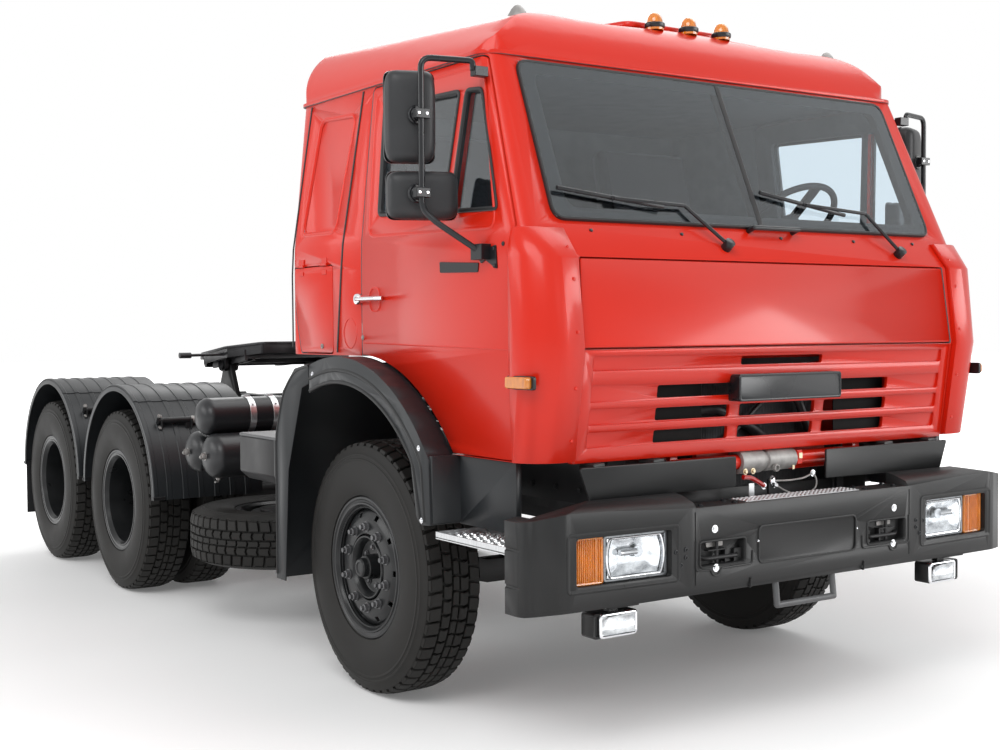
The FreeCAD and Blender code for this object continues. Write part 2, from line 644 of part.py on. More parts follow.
def knuckle():
    """Right steering knuckle: fork around the king pin, spindle and steering arm."""
    x = -KINGPIN_X
    fork = [box(x - 62, x + 44, -48, 48, 582, 628), box(x - 62, x + 44, -48, 48, ARM_LOW, 458)]
    back = box(x - 62, x - 48, -48, 48, ARM_LOW, 628)
    spindle = rod((x - 48, 0, AXLE_Z), (1 - FRONT_TRACK_HALF - SPINDLE_END, 0, AXLE_Z), SPINDLE_R)
    arm = box(x - 18, x + 18, 40, ARM_Y, ARM_LOW, ARM_TOP)
    eye = rod((x, ARM_Y, ARM_LOW), (x, ARM_Y, ARM_TOP), 27)
    body = join(fork + [back, spindle, arm, eye])
    bores = [rod((x, 0, 400), (x, 0, 640), PIVOT_R + FIT_GAP),
             rod((x, ARM_Y, ARM_LOW - 12), (x, ARM_Y, ARM_TOP + 10), BALL_PIN_R + FIT_GAP)]
    return body.cut(bores)


def tie_rod():
    """Bar between the two steering arms, with a ball pin up into each arm."""
    x, z = KINGPIN_X, ARM_LOW - 22
    bar = rod((-x, ARM_Y, z), (x, ARM_Y, z), 18)
    ends = pair(Part.makeSphere(21, V(-x, ARM_Y, z)))
    pins = pair(rod((-x, ARM_Y, z), (-x, ARM_Y, ARM_TOP + 6), BALL_PIN_R))
    return join([bar] + ends + pins)


def front_axle():
    """Dropped beam with a king pin through each end."""
    x = KINGPIN_X
    half = [(560, 400), (x - 40, 470), (x - 40, 575), (x - 90, 575), (560, 500)]
    beam = prism_y(half + [(-a, b) for a, b in reversed(half)], -42, 42, 0)
    eyes = pair(rod((-x, 0, 459), (-x, 0, 581), 46))
    pins = pair(rod((-x, 0, 405), (-x, 0, 635), PIVOT_R))
    return join([beam] + eyes + pins)


def leaf(points, x, width, thick):
    """Curved leaf pack from top-line points (y, z)."""
    low = [(y, z - thick) for y, z in reversed(points)]
    return prism_x(points + low, x - width / 2, x + width / 2)


def leaf_springs():
    """Front and rear leaf packs, with the front packs' pads and shackles."""
    made = []
    mid = sum(REAR_AXLES) / 2
    for s in (-1, 1):
        x = s * (RAIL_OUT - 47)
        main = leaf([(-700, 690), (-350, 612), (0, 582), (350, 612), (700, 690)], x, 80, 14)
        under = leaf([(-560, 640), (-300, 584), (0, 562), (300, 584), (560, 640)], x, 80, 50)
        made.append(join([main, under]))
        made.append(box(x - 46, x + 46, -60, 60, 500 + SEAT_GAP, 512 - SEAT_GAP))
        for y in (-715, 715):
            top, low = RAIL_LOW - SEAT_GAP, 690 + SEAT_GAP
            made.append(prism_x([(y - 60, top), (y + 60, top), (y + 25, low), (y - 25, low)], x - 30, x + 30))
        x = s * SPRING_X
        main = [(mid - 640, 628), (mid - 300, 752), (mid - 90, 818.3), (mid + 90, 818.3), (mid + 300, 752),
                (mid + 640, 628)]
        under = [(mid - 420, 690), (mid - 90, 792.3), (mid + 90, 792.3), (mid + 420, 690)]
        made.append(join([leaf(main, x, 90, SPRING_T), leaf(under, x, 90, 70)]))
    return made


def drive_axles():
    """Two drive axles with their shafts and spring pads, the trunnion between them and four torque rods."""
    made = []
    mid = sum(REAR_AXLES) / 2
    half_track = (DUAL_INNER + DUAL_OUTER) / 2
    shaft_starts = ((0, GEARBOX_REAR + 8, 790), (0, REAR_AXLES[0] + 170.9, AXLE_Z + 20))
    for y, start in zip(REAR_AXLES, shaft_starts):
        tube = rod((-640, y, AXLE_Z), (640, y, AXLE_Z), DRIVE_TUBE_R)
        case = turned([(-150, 0), (-150, 60), (-90, 170), (90, 170), (150, 60), (150, 0)], 0, y, AXLE_Z)
        nose = rod((0, y - 320, AXLE_Z + 30), (0, y - 60, AXLE_Z + 5), 90)
        ends = pair(rod((-640, y, AXLE_Z), (-half_track - 118, y, AXLE_Z), DRIVE_SPINDLE_R))
        shaft = rod(start, (0, y - 300, AXLE_Z + 30), 48)
        inward = 40 if y < mid else -40
        pads = both(SPRING_X - 45, SPRING_X + 45, y + inward - 50, y + inward + 50, AXLE_Z + 40,
                    628 - SPRING_T - SEAT_GAP)
        made.append(join([tube, case, nose, shaft] + ends + pads))
    trunnion = rod((-SPRING_X - 50, mid, 672), (SPRING_X + 50, mid, 672), 50)
    brackets = both(370, 430, mid - 150, mid + 150, 440, RAIL_LOW - SEAT_GAP)
    made.append(join([trunnion] + brackets))
    for s in (-1, 1):
        for y, face in ((REAR_AXLES[0], mid - 150 - SEAT_GAP), (REAR_AXLES[1], mid + 150 + SEAT_GAP)):
            tube = rod((-640, y, AXLE_Z), (640, y, AXLE_Z), DRIVE_TUBE_R + SEAT_GAP)
            made.append(rod((s * 400, face, 472), (s * 400, y, 472), 18).cut(tube))
    return made


def spare_carrier():
    """Arm down from the right rail with a round plate on the spare wheel's disc."""
    x, y, z = SPARE
    seat = z + 104 + SEAT_GAP
    top = z + TYRE_W / 2 + 3
    plate = rod((x, y, seat), (x, y, seat + 12), 165)
    stem = rod((x, y, seat), (x, y, top + 14), 60)
    arm = box(x - 60, -RAIL_OUT - SEAT_GAP, y - 40, y + 40, top, top + 14)
    post = box(-RAIL_OUT - 20, -RAIL_OUT - SEAT_GAP, y - 40, y + 40, top, RAIL_LOW + 60)
    return join([plate, stem, arm, post])


def chassis_frame():
    """Two channel rails with their cross members, end plate and the brackets of the cab hinge."""
    made = []
    web = RAIL_OUT - RAIL_T
    for outer, gap in zip(both(RAIL_OUT - RAIL_DEPTH, RAIL_OUT, RAIL_FRONT, RAIL_REAR, RAIL_LOW, RAIL_TOP),
                          both(RAIL_OUT - RAIL_DEPTH - 1, web, RAIL_FRONT - 1, RAIL_REAR + 1,
                               RAIL_LOW + RAIL_T, RAIL_TOP - RAIL_T)):
        made.append(outer.cut(gap))
    inner = web - FIT_GAP
    for y in CROSS_MEMBERS:
        made.append(box(-inner, inner, y - 40, y + 40, RAIL_LOW + 20, RAIL_TOP - 20))
    closing = box(-RAIL_OUT, RAIL_OUT, RAIL_REAR + SEAT_GAP, REAR_END, RAIL_LOW - 10, RAIL_TOP + 10)
    lamp_bar = box(-690, 690, RAIL_REAR + SEAT_GAP, REAR_END - 22, 840, 960)
    made.append(join([closing, lamp_bar]))
    made.append(box(-inner, inner, RAIL_FRONT + 4, RAIL_FRONT + 24, RAIL_LOW + 20, RAIL_LOW + 100))
    x0, x1 = -HINGE_X - 62, -HINGE_X - 28
    boss = rod((x0, HINGE_Y, HINGE_Z), (x1, HINGE_Y, HINGE_Z), HINGE_PIN_R + 14)
    arm = box(x0, x1, HINGE_Y, -990, HINGE_Z - 22, HINGE_Z + 22)
    foot = box(x0, -RAIL_OUT - SEAT_GAP, -1050, -990, HINGE_Z - 60, HINGE_Z + 22)
    bore = rod((x0 - 10, HINGE_Y, HINGE_Z), (x1 + 10, HINGE_Y, HINGE_Z), HINGE_PIN_R + FIT_GAP)
    return made + pair(join([boss, arm, foot]).cut(bore)) + [spare_carrier()]


def powertrain():
    """Engine, gearbox, radiator, silencer and exhaust pipe in plain outer form."""
    engine = join([box(-330, 330, -620, 250, 720, 1180), box(-200, 200, -620, 250, 640, 720),
                   box(-260, 260, -560, 200, 1180, 1330)])
    gearbox = join([box(-190, 190, 250 + SEAT_GAP, 760, 640, 1010),
                    box(-130, 130, 760, GEARBOX_REAR, 680, 960)])
    radiator = box(-345, 345, RAIL_FRONT + 24 + SEAT_GAP, -1010, 720, 1340)
    silencer = rod((640, 1980, 760), (BODY_HALF - 210, 1980, 760), 130)
    route = ((250, 250 + SEAT_GAP), (250, 900), (545, 900), (545, 1980), (660, 1980))
    pipe = bent_rod([(x, y, 730) for x, y in route], 38)
    return [engine, gearbox, radiator, silencer, pipe.cut(silencer)]


def bumper_plan(inset):
    """Outline from above: flat middle, swept ends, rounded corners."""
    side, corner, flat = BODY_HALF - inset, BODY_HALF - 130 - inset, BUMPER_STEP_HALF + 27
    front = BUMPER_FRONT + inset
    right = [(-side, BUMPER_BACK), (-side, front + 75), (-corner, front + 23), (-flat, front)]
    return right + [(-x, y) for x, y in reversed(right)], [0, 70 - inset, 150, 0, 0, 150, 70 - inset, 0]


def lamp_opening(margin):
    middle, half = (LAMP_IN + LAMP_OUT) / 2, (LAMP_OUT - LAMP_IN) / 2
    return rect(-middle, half + margin, LAMP_Z, LAMP_HALF_Z + margin)


def bumper_shell():
    """Outer skin of the bumper with its low middle part and a tub behind each lamp opening.

    Behind its front edge it stays low, where the valances swing as the cab tilts.
    """
    points, radii = bumper_plan(0)
    outer = prism_z(points, BUMPER_LOW - 5, BUMPER_TOP + 10, radii)
    back, front, top = BUMPER_BACK, BUMPER_FRONT, BUMPER_TOP
    side = [(back, BUMPER_LOW), (back, top), (back - 35, top), (front + 75, top - 12), (front + 15, top - 32),
            (front, top - 50), (front, 580), (front + 13, 554), (front + 85, BUMPER_LOW)]
    step = box(-BUMPER_STEP_HALF, BUMPER_STEP_HALF, AHEAD, back + 1, BUMPER_STEP_Z, top + 100)
    fall = [(330 - BODY_HALF, top + 1), (-BODY_HALF, top - 54), (-BODY_HALF - 1, top + 50),
            (330 - BODY_HALF, top + 50)]
    swing = box(55 - BODY_HALF, BODY_HALF - 55, -1262, back + 1, 800, top + 100)
    outer = outer.common(prism_x(side, -ASIDE, ASIDE))
    outer = outer.cut([step, swing] + pair(prism_y(fall, AHEAD, back + 1)))
    points, radii = bumper_plan(BUMPER_WALL)
    hollow = prism_z(points, 0, BUMPER_STEP_Z - BUMPER_WALL, radii)
    tubs = pair(prism_y(lamp_opening(8), AHEAD, LAMP_BACK + 6, 18))
    tubs += pair(prism_y(rect(-433, 115, 695, 50), AHEAD, BUMPER_FRONT + 40, 12))
    return outer.cut(hollow).fuse([outer.common(tub) for tub in tubs])


def front_bumper():
    """Bumper with lamp and tow eye openings, side grooves, fog lamp housings, step bar and frame brackets."""
    cuts = pair(prism_y(lamp_opening(0), AHEAD, LAMP_BACK, 12))
    cuts += pair(prism_y(rect(-433, 107, 695, 42), AHEAD, BUMPER_FRONT + 34, 10))
    cuts.append(prism_y(rect(0, 255, 705, 65), AHEAD, BUMPER_FRONT + 6, 20))
    for z in (640, 765):
        cuts += pair(rod((-BODY_HALF - 2, AHEAD, z), (-BODY_HALF - 2, BUMPER_BACK + 5, z), 7))
    shell = bumper_shell().cut(cuts)
    rail = box(-BUMPER_STEP_HALF, BUMPER_STEP_HALF, -1356, -1340, 556, 600)
    step = bent_rod([(-150, -1350, 560), (-150, -1360, 470), (150, -1360, 470), (150, -1350, 560)], 12)
    arms = both(300, 360, -1354, -1131, 640, 700)
    arms += both(RAIL_OUT - RAIL_DEPTH, RAIL_OUT, -1190, -1060, 640, RAIL_LOW - SEAT_GAP)
    fog = prism_y(rect(-FOG_X, 96, FOG_Z, 43), FOG_FRONT, -1236, 12)
    fog = fog.cut(prism_y(rect(-FOG_X, 88, FOG_Z, 35), AHEAD, FOG_FRONT + 6, 8))
    stem = box(-FOG_X - 20, -FOG_X + 20, -1290, -1262, FOG_Z + 40, 560)
    plate = box(-FOG_X - 60, -FOG_X + 60, -1356, -1240, 548, 556)
    return join([shell, rail, step] + arms + pair(join([fog, stem, plate])))


def swept_lens(x0, x1, front0, front1):
    """Right lamp block between two places across the bumper, with its front face swept back."""
    plan_view = [(-x0, LAMP_BACK - FIT_GAP), (-x0, front0), (-x1, front1), (-x1, LAMP_BACK - FIT_GAP)]
    block = prism_z(plan_view, LAMP_Z - LAMP_HALF_Z + FIT_GAP, LAMP_Z + LAMP_HALF_Z - FIT_GAP)
    return block.common(prism_y(lamp_opening(-FIT_GAP), AHEAD, 0, 12))


def lamp_lenses():
    head = swept_lens(LAMP_IN + FIT_GAP, LAMP_SPLIT - 1, -1348, -1338)
    fog = prism_y(rect(-FOG_X, 87.5, FOG_Z, 34.5), FOG_FRONT + 1, FOG_FRONT + 6 - SEAT_GAP, 7.5)
    return pair(head) + pair(fog)


def turn_lenses():
    return pair(swept_lens(LAMP_SPLIT + 1, LAMP_OUT - FIT_GAP, -1338, -1330))


def rear_lamps():
    return pair(prism_y(rect(-565, 110, 900, 52), REAR_END - 22 + SEAT_GAP, REAR_END, 12))


def side_steps():
    """Step plate under each door on two arms from the frame."""
    made = [box(-BODY_HALF + 10, -BODY_HALF + 240, -1190, -730, 737, 765)]
    for y in (-1100, -840):
        made.append(box(-BODY_HALF + 235, -RAIL_OUT - 2, y - 20, y + 20, 740, 762))
        made.append(box(-RAIL_OUT - 38, -RAIL_OUT - SEAT_GAP, y - 20, y + 20, 740, 900))
    return pair(join(made))


def front_mudguards():
    """Guard behind each front wheel: curved back wall, outer flange and a stay to the frame."""
    outer = [(266, 1352), (400, 1330), (520, 1230), (600, 1040), (606, 400)]
    inner = [(600, 400), (594, 1036), (514, 1224), (396, 1323), (266, 1345)]
    flange = [(515, 400), (472, 889), (330, 1250), (266, 1270)]
    shell = prism_x(outer + inner, -BODY_HALF, -640)
    side = prism_x(outer + flange, -BODY_HALF, -BODY_HALF + 5)
    pad = box(-645, -620, 540, 604, 860, 940)
    stay = rod((-641, 560, 900), (-RAIL_OUT - SEAT_GAP, 560, 900), 20)
    return pair(join([shell, side, pad, stay]))


def rear_fender(centre):
    """Right fender: half ring with raised ribs and a turned-down rim."""
    skin_r, inner_r, rim_r = FENDER_R - 4, FENDER_R - 10, FENDER_R - 32
    profile = [(-BODY_HALF, rim_r), (-BODY_HALF, FENDER_R)]
    profile += [(24 - BODY_HALF, FENDER_R), (26 - BODY_HALF, skin_r)]
    for x in range(1, FENDER_RIBS + 1):
        at_rib = -BODY_HALF + x * (BODY_HALF - FENDER_IN) / (FENDER_RIBS + 1)
        profile += [(at_rib - 14, skin_r), (at_rib - 12, FENDER_R)]
        profile += [(at_rib + 12, FENDER_R), (at_rib + 14, skin_r)]
    profile += [(-FENDER_IN, skin_r), (-FENDER_IN, inner_r), (6 - BODY_HALF, inner_r), (6 - BODY_HALF, rim_r)]
    ring = turned(profile, 0, centre, FENDER_Z)
    return ring.cut(box(-ASIDE, 0, centre - 700, centre + 700, -200, FENDER_Z + 15))


def rear_fenders():
    made = []
    for y in REAR_AXLES:
        centre = y - FENDER_AHEAD
        made += pair(rear_fender(centre))
        reach = FENDER_R + STAY_R + SEAT_GAP
        rise = RAIL_TOP - STAY_R - FENDER_Z
        for side in (-1, 1):
            stay_y = centre + side * math.sqrt(reach ** 2 - rise ** 2)
            start = (80 - BODY_HALF, stay_y, FENDER_Z + rise)
            made += pair(rod(start, (-RAIL_OUT - SEAT_GAP, stay_y, FENDER_Z + rise), STAY_R))
    return made


def tank(y, z, radius):
    """Air tank across the frame, with domed ends."""
    dome = ((0, 0), (0, radius * 0.4), (12, radius * 0.8), (40, radius))
    profile = [(depth - TANK_OUT, r) for depth, r in dome]
    profile += [(-TANK_IN - depth, r) for depth, r in reversed(dome)]
    return turned(profile, 0, y, z)


def air_tanks():
    """Three tanks and the beam that nests between them."""
    middle_y = sum(y for y, z, r in TANKS) / 3
    middle_z = sum(z for y, z, r in TANKS) / 3
    half = 62
    beam = box(150 - TANK_OUT, -RAIL_OUT - SEAT_GAP, middle_y - half, middle_y + half,
               middle_z - half, middle_z + half)
    nests = [rod((-ASIDE, y, z), (0, y, z), radius + SEAT_GAP) for y, z, radius in TANKS]
    beam = max(beam.cut(nests).Solids, key=lambda piece: piece.Volume)
    return [tank(*place) for place in TANKS] + [beam]


def battery_box():
    """Box on two arms from the frame, with its lower outer edge bevelled."""
    outline = [(-TANK_OUT, 830), (-TANK_OUT + 45, 790), (-700, 790), (-700, 1005), (-TANK_OUT, 1005)]
    case = prism_y(outline, 717, 1130, [12, 12, 12, 12, 16])
    arms = [box(-705, -RAIL_OUT - SEAT_GAP, y - 25, y + 25, 800, 840) for y in (780, 1070)]
    return join([case] + arms)


def fuel_tank():
    tank_body = prism_y(rect(BODY_HALF - 355, 295, 720, 230), 720, 1780, 70)
    arms = [box(RAIL_OUT + SEAT_GAP, BODY_HALF - 645, y - 25, y + 25, 800, 860) for y in (900, 1600)]
    return join([tank_body] + arms)


def laid_flat(shape):
    """A wheel part turned to lie face up on the spare wheel carrier."""
    shape.translate(V(0, 0, -AXLE_Z))
    shape.rotate(V(0, 0, 0), V(0, 1, 0), 90)
    shape.translate(V(*SPARE))
    return shape


def spare_tyre():
    return laid_flat(tyre(0))


def spare_rim():
    return laid_flat(join([rim_barrel(0), wheel_disc(0)]))


def fifth_wheel_stand():
    """Mounting plate on the rails with a tower and pivot pin at each side."""
    low, high = RAIL_TOP + SEAT_GAP, RAIL_TOP + 22
    plates = both(300, RAIL_OUT, COUPLER_Y - 400, COUPLER_Y + 420, low, high)
    side = [(COUPLER_Y - 170, high - 2), (COUPLER_Y + 170, high - 2), (COUPLER_Y + 45, COUPLER_Z + 20),
            (COUPLER_Y - 45, COUPLER_Z + 20)]
    towers = pair(prism_x(side, -368, -340, [0, 0, 30, 30]))
    pins = pair(rod((-330, COUPLER_Y, COUPLER_Z), (-385, COUPLER_Y, COUPLER_Z), COUPLER_PIN_R))
    cross = [box(-RAIL_OUT, RAIL_OUT, y - 45, y + 45, low, high) for y in (COUPLER_Y - 350, COUPLER_Y + 360)]
    return join(plates + towers + pins + cross)


def coupler_outline(horn):
    """Plate seen from above, with a throat between two horns that end at the given place."""
    half = [(300, -400), (435, -150), (435, 250), (300, horn - 20), (215, horn), (150, 400), (60, 150)]
    return half + [(-x, y) for x, y in reversed(half)]


def fifth_wheel_plate():
    """Coupling plate with its throat, skirt, lock block and release handle, shaped level and then tilted."""
    up = COUPLER_UP
    half_radii = [80, 60, 60, 30, 30, 60, 20]
    top = prism_z(coupler_outline(630), up - 14, up, half_radii + half_radii[::-1])
    skirt = prism_z(grown(coupler_outline(590), -12), up - 70, up - 14, 20)
    inside = prism_z(grown(coupler_outline(590), -24), up - 71, up - 14, 10)
    ribs = [box(-410, 410, y, y + 12, up - 70, up - 13) for y in (-140, 120)]
    ears = []
    for x in (310, 374):
        ear = prism_x([(-70, up - 14), (70, up - 14), (40, -38), (-40, -38)], -x - 24, -x, [0, 0, 30, 30])
        ears += pair(ear)
    lock = box(-110, 110, -80, 130, up - 62, up - 10)
    body = join([top, skirt.cut(inside), lock] + ears + ribs)
    bore = Part.makeCylinder(KINGPIN_BORE, 200, V(0, 0, up - 120))
    mouth = prism_z([(-60, 160), (-60, 100), (-14, 24), (14, 24), (60, 100), (60, 160)], up - 100, up + 10)
    pins = rod((-500, 0, 0), (500, 0, 0), COUPLER_PIN_R + FIT_GAP)
    low = up - 48
    handle = bent_rod([(-300, -60, up - 40), (-640, -90, low), (-690, -90, low), (-700, -60, low)], 9)
    body = body.cut([bore, mouth, pins]).fuse(handle)
    body.rotate(V(0, 0, 0), V(1, 0, 0), COUPLER_TILT)
    body.translate(V(0, COUPLER_Y, COUPLER_Z))
    return body.removeSplitter()


def air_intake():
    """Intake stack behind the cab on the driver's side, on a stay from the frame."""
    duct = prism_z(rect(880, 130, 760, 85), 1150, 2300, 35)
    cap = prism_z(rect(880, 160, 760, 100), 2300, 2420, 45)
    leg = box(700, 760, 735, 785, 1100, 1160)
    foot = RAIL_OUT + SEAT_GAP
    return join([duct, cap, leg, box(foot, 760, 735, 785, 1060, 1110), box(foot, 470, 735, 785, 900, 1110)])


def save(node, shape):
    """Write one node, moved to the frame of the whole truck."""
    solids = []
    for item in shape if isinstance(shape, list) else [shape]:
        solids += item.Solids
    out = solids[0] if len(solids) == 1 else Part.makeCompound(solids)
    out = out.copy()
    out.translate(V(0, FRONT_AXLE_Y, 0))
    out.exportStep("parts/" + node + ".step")
    print(node, len(solids), out.isValid(), round(out.Volume / 1e6))


def at(shape, y):
    moved = shape.copy()
    moved.translate(V(0, y, 0))
    return moved


def both_sides(name, shape):
    save(name + "_right", shape)
    shapes = shape if isinstance(shape, list) else [shape]
    save(name + "_left", [mirrored(s) for s in shapes])


save("chassis_frame", chassis_frame())
save("powertrain", powertrain())
save("front_axle", front_axle())
save("leaf_springs", leaf_springs())
save("drive_axles", drive_axles())
save("front_bumper", front_bumper())
save("lamp_lenses", lamp_lenses())
save("turn_lenses", turn_lenses())
save("rear_lamps", rear_lamps())
save("side_steps", side_steps())
save("front_mudguards", front_mudguards())
save("rear_fenders", rear_fenders())
save("air_tanks", air_tanks())
save("battery_box", battery_box())
save("fuel_tank", fuel_tank())
save("spare_tyre", spare_tyre())
save("spare_rim", spare_rim())
save("fifth_wheel_stand", fifth_wheel_stand())
save("fifth_wheel_plate", fifth_wheel_plate())
save("air_intake", air_intake())
both_sides("knuckle", knuckle())
save("tie_rod", tie_rod())
both_sides("front_tyre", tyre(-FRONT_TRACK_HALF))
both_sides("front_rim", front_rim())
for label, axle_y in zip(("middle", "rear"), REAR_AXLES):
    both_sides(label + "_tyres", [at(tyre(-DUAL_INNER), axle_y), at(tyre(-DUAL_OUTER), axle_y)])
    both_sides(label + "_rims", at(dual_rims(), axle_y))
save("cab_shell", cab_shell())
save("grille_panel", grille_panel())
save("corner_panels", corner_panels())
save("windscreen_seal", windscreen_seal())
save("windscreen_glass", windscreen_glass())
save("wipers", wipers())
save("cab_arches", cab_arches())
save("valances", valances())
save("roof_hatch", roof_hatch())
save("roof_lamps", roof_lamps())
save("seats", seats())
save("dashboard", dashboard())
save("steering_wheel", steering_wheel())
save("front_lid", front_lid())
both_sides("door", door())
both_sides("door_glass", door_glass())
both_sides("mirror", mirror())
both_sides("locker_lid", locker_lid())
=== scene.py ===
import math

import bmesh
import bpy
from mathutils import Matrix, Vector


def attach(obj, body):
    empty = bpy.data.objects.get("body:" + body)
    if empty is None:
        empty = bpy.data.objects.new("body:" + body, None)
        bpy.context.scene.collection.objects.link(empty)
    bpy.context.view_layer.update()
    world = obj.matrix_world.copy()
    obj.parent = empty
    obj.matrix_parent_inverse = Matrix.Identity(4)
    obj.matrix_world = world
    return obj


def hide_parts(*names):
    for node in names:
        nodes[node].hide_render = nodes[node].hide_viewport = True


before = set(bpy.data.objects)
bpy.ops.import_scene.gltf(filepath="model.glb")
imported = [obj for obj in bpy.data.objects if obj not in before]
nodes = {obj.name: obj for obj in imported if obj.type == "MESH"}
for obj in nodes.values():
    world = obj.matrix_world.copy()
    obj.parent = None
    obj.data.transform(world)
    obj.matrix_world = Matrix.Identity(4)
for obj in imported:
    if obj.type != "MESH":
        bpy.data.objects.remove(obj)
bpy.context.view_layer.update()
scene = bpy.context.scene

# Lengths are millimetres, counted as in the part's source: y from the front axle, z from the ground.
# Most shapes are drawn on one side and mirrored to the other.
SIDES = (("right", -1), ("left", 1))
FRONT_AXLE_Y = -1725
REAR_AXLES = (2840, 4160)
AXLE_Z = 520
FRONT_TRACK = 1015
DUAL_INNER = 776
DUAL_OUTER = 1094
SPARE = (-705, 1600, 450)
TYRE_R = 520
TREAD_REPEATS = 54
TREAD_DEPTH = 14
RIM_LIP = 292
NUT_COUNT = 10
NUT_RADIUS = 167.5
WELL_R = 868
# the cab's walls: height, half width and front face
CAB_SECTIONS = (
    (1000, 1139, -1195),
    (1035, 1140, -1200),
    (1425, 1150, -1257),
    (1735, 1150, -1222),
    (1850, 1148, -1130),
    (2485, 1083, -852),
)
BODY_HALF = 1250
RAIL_OUT = 432
FRONT_SPRING_X = 385
REAR_SPRING_X = 520
BUMPER_FRONT = -1375
BUMPER_FLAT = 587
BUMPER_SWEEP = 23 / 533
LAMP_Z = 715
HEAD_X = 808
TURN_X = 1009
FOG_X = 856
FOG_Z = 480
FOG_FRONT = -1302
STEP_ARMS = (-1100, -840)
LOCKER_HINGES = (524, 304)
MIRROR_POST_X = -1333
MIRROR_TURN = -22.7
# centre, width and height of the upper and the lower mirror
MIRRORS = (((MIRROR_POST_X, -742, 2245), 180, 323), ((-1282, -738, 1971), 254, 171))
BEACONS_X = (-180, 0, 180)
BEACON_Y = -712
CORNER_LAMP = (832, -690)
TANK_OUT = 1190
TANK_IN = 645
# y, z and radius of the air tanks
TANKS = ((1673, 1056, 95), (1575, 863, 112), (1806, 869, 104))
FUEL_CAP = (1120, 980, 930)
# pivot of the coupling plate, and its tilt at rest in degrees
COUPLER = (0, 3245, 1275)
COUPLER_TILT = -6.4
FENDER_R = 617
FENDER_Z = 570
FENDER_AHEAD = 70
FENDER_IN = 620
FENDER_END = 88.6
STAY_Z = 1002
STAY_REACH = 466.3
REAR_LAMP_Y = 4822
HINGE_BEAM = (0, -1165, 985)


def at(x, y, z):
    """Millimetres to the scene's metres."""
    return Vector((x, y + FRONT_AXLE_Y, z)) / 1000


# Materials

DUST = (0.16, 0.14, 0.12)


def noise_node(tree, mapping, scale, detail):
    """Noise texture in the object's own space."""
    noise = tree.nodes.new("ShaderNodeTexNoise")
    noise.inputs["Scale"].default_value = scale
    noise.inputs["Detail"].default_value = detail
    tree.links.new(mapping.outputs["Vector"], noise.inputs["Vector"])
    return noise


def material(name, color, rough, metal=0.0, coat=0.0, coat_rough=0.05, spec=0.5, sheen=0.0,
             shade=0.0, shade_scale=3.0, dirt=None, grain=0.0, grain_scale=300.0, rough_vary=0.0,
             stretch=(1, 1, 1), noise_detail=6.0, transmission=0.0, ior=1.45):
    """Principled material with mottled colour, uneven gloss, fine relief and road dust low down."""
    made = bpy.data.materials.new(name)
    made.use_nodes = True
    tree = made.node_tree
    link = tree.links.new
    bsdf = tree.nodes["Principled BSDF"]
    bsdf.inputs["Base Color"].default_value = (*color, 1)
    for socket, value in (("Roughness", rough), ("Metallic", metal), ("Coat Weight", coat),
                          ("Coat Roughness", coat_rough), ("Specular IOR Level", spec),
                          ("Sheen Weight", sheen), ("IOR", ior), ("Transmission Weight", transmission)):
        bsdf.inputs[socket].default_value = value
    place = tree.nodes.new("ShaderNodeTexCoord")
    mapping = tree.nodes.new("ShaderNodeMapping")
    mapping.inputs["Scale"].default_value = stretch
    link(place.outputs["Object"], mapping.inputs["Vector"])
    if shade:
        noise = noise_node(tree, mapping, shade_scale, noise_detail)
        ramp = tree.nodes.new("ShaderNodeValToRGB")
        dark, light = ramp.color_ramp.elements
        dark.position, light.position = 0.3, 0.7
        dark.color = (*[c * (1 - shade) for c in color], 1)
        light.color = (*[min(1, c * (1 + shade)) for c in color], 1)
        link(noise.outputs["Fac"], ramp.inputs["Fac"])
        last = ramp.outputs["Color"]
        if dirt:
            last = dusted(tree, place, noise, last, *dirt)
        link(last, bsdf.inputs["Base Color"])
        if rough_vary:
            spread = tree.nodes.new("ShaderNodeMapRange")
            spread.inputs["To Min"].default_value = max(0.02, rough - rough_vary)
            spread.inputs["To Max"].default_value = min(1, rough + rough_vary)
            link(noise.outputs["Fac"], spread.inputs["Value"])
            link(spread.outputs["Result"], bsdf.inputs["Roughness"])
    if grain:
        bump = tree.nodes.new("ShaderNodeBump")
        bump.inputs["Strength"].default_value = min(1, grain)
        bump.inputs["Distance"].default_value = 0.0006
        link(noise_node(tree, mapping, grain_scale, 3).outputs["Fac"], bump.inputs["Height"])
        link(bump.outputs["Normal"], bsdf.inputs["Normal"])
    return made


def dusted(tree, place, noise, color, top, amount):
    """Mixes dust in near the ground, up to the height top in metres."""
    link = tree.links.new
    split = tree.nodes.new("ShaderNodeSeparateXYZ")
    link(place.outputs["Object"], split.inputs["Vector"])
    low = tree.nodes.new("ShaderNodeMapRange")
    low.inputs["From Min"].default_value = top
    low.inputs["From Max"].default_value = 0.0
    low.inputs["To Max"].default_value = amount
    link(split.outputs["Z"], low.inputs["Value"])
    broken = tree.nodes.new("ShaderNodeMath")
    broken.operation = "MULTIPLY"
    link(low.outputs["Result"], broken.inputs[0])
    link(noise.outputs["Fac"], broken.inputs[1])
    mix = tree.nodes.new("ShaderNodeMix")
    mix.data_type = "RGBA"
    link(broken.outputs["Value"], mix.inputs["Factor"])
    link(color, mix.inputs[6])
    mix.inputs[7].default_value = (*DUST, 1)
    return mix.outputs[2]


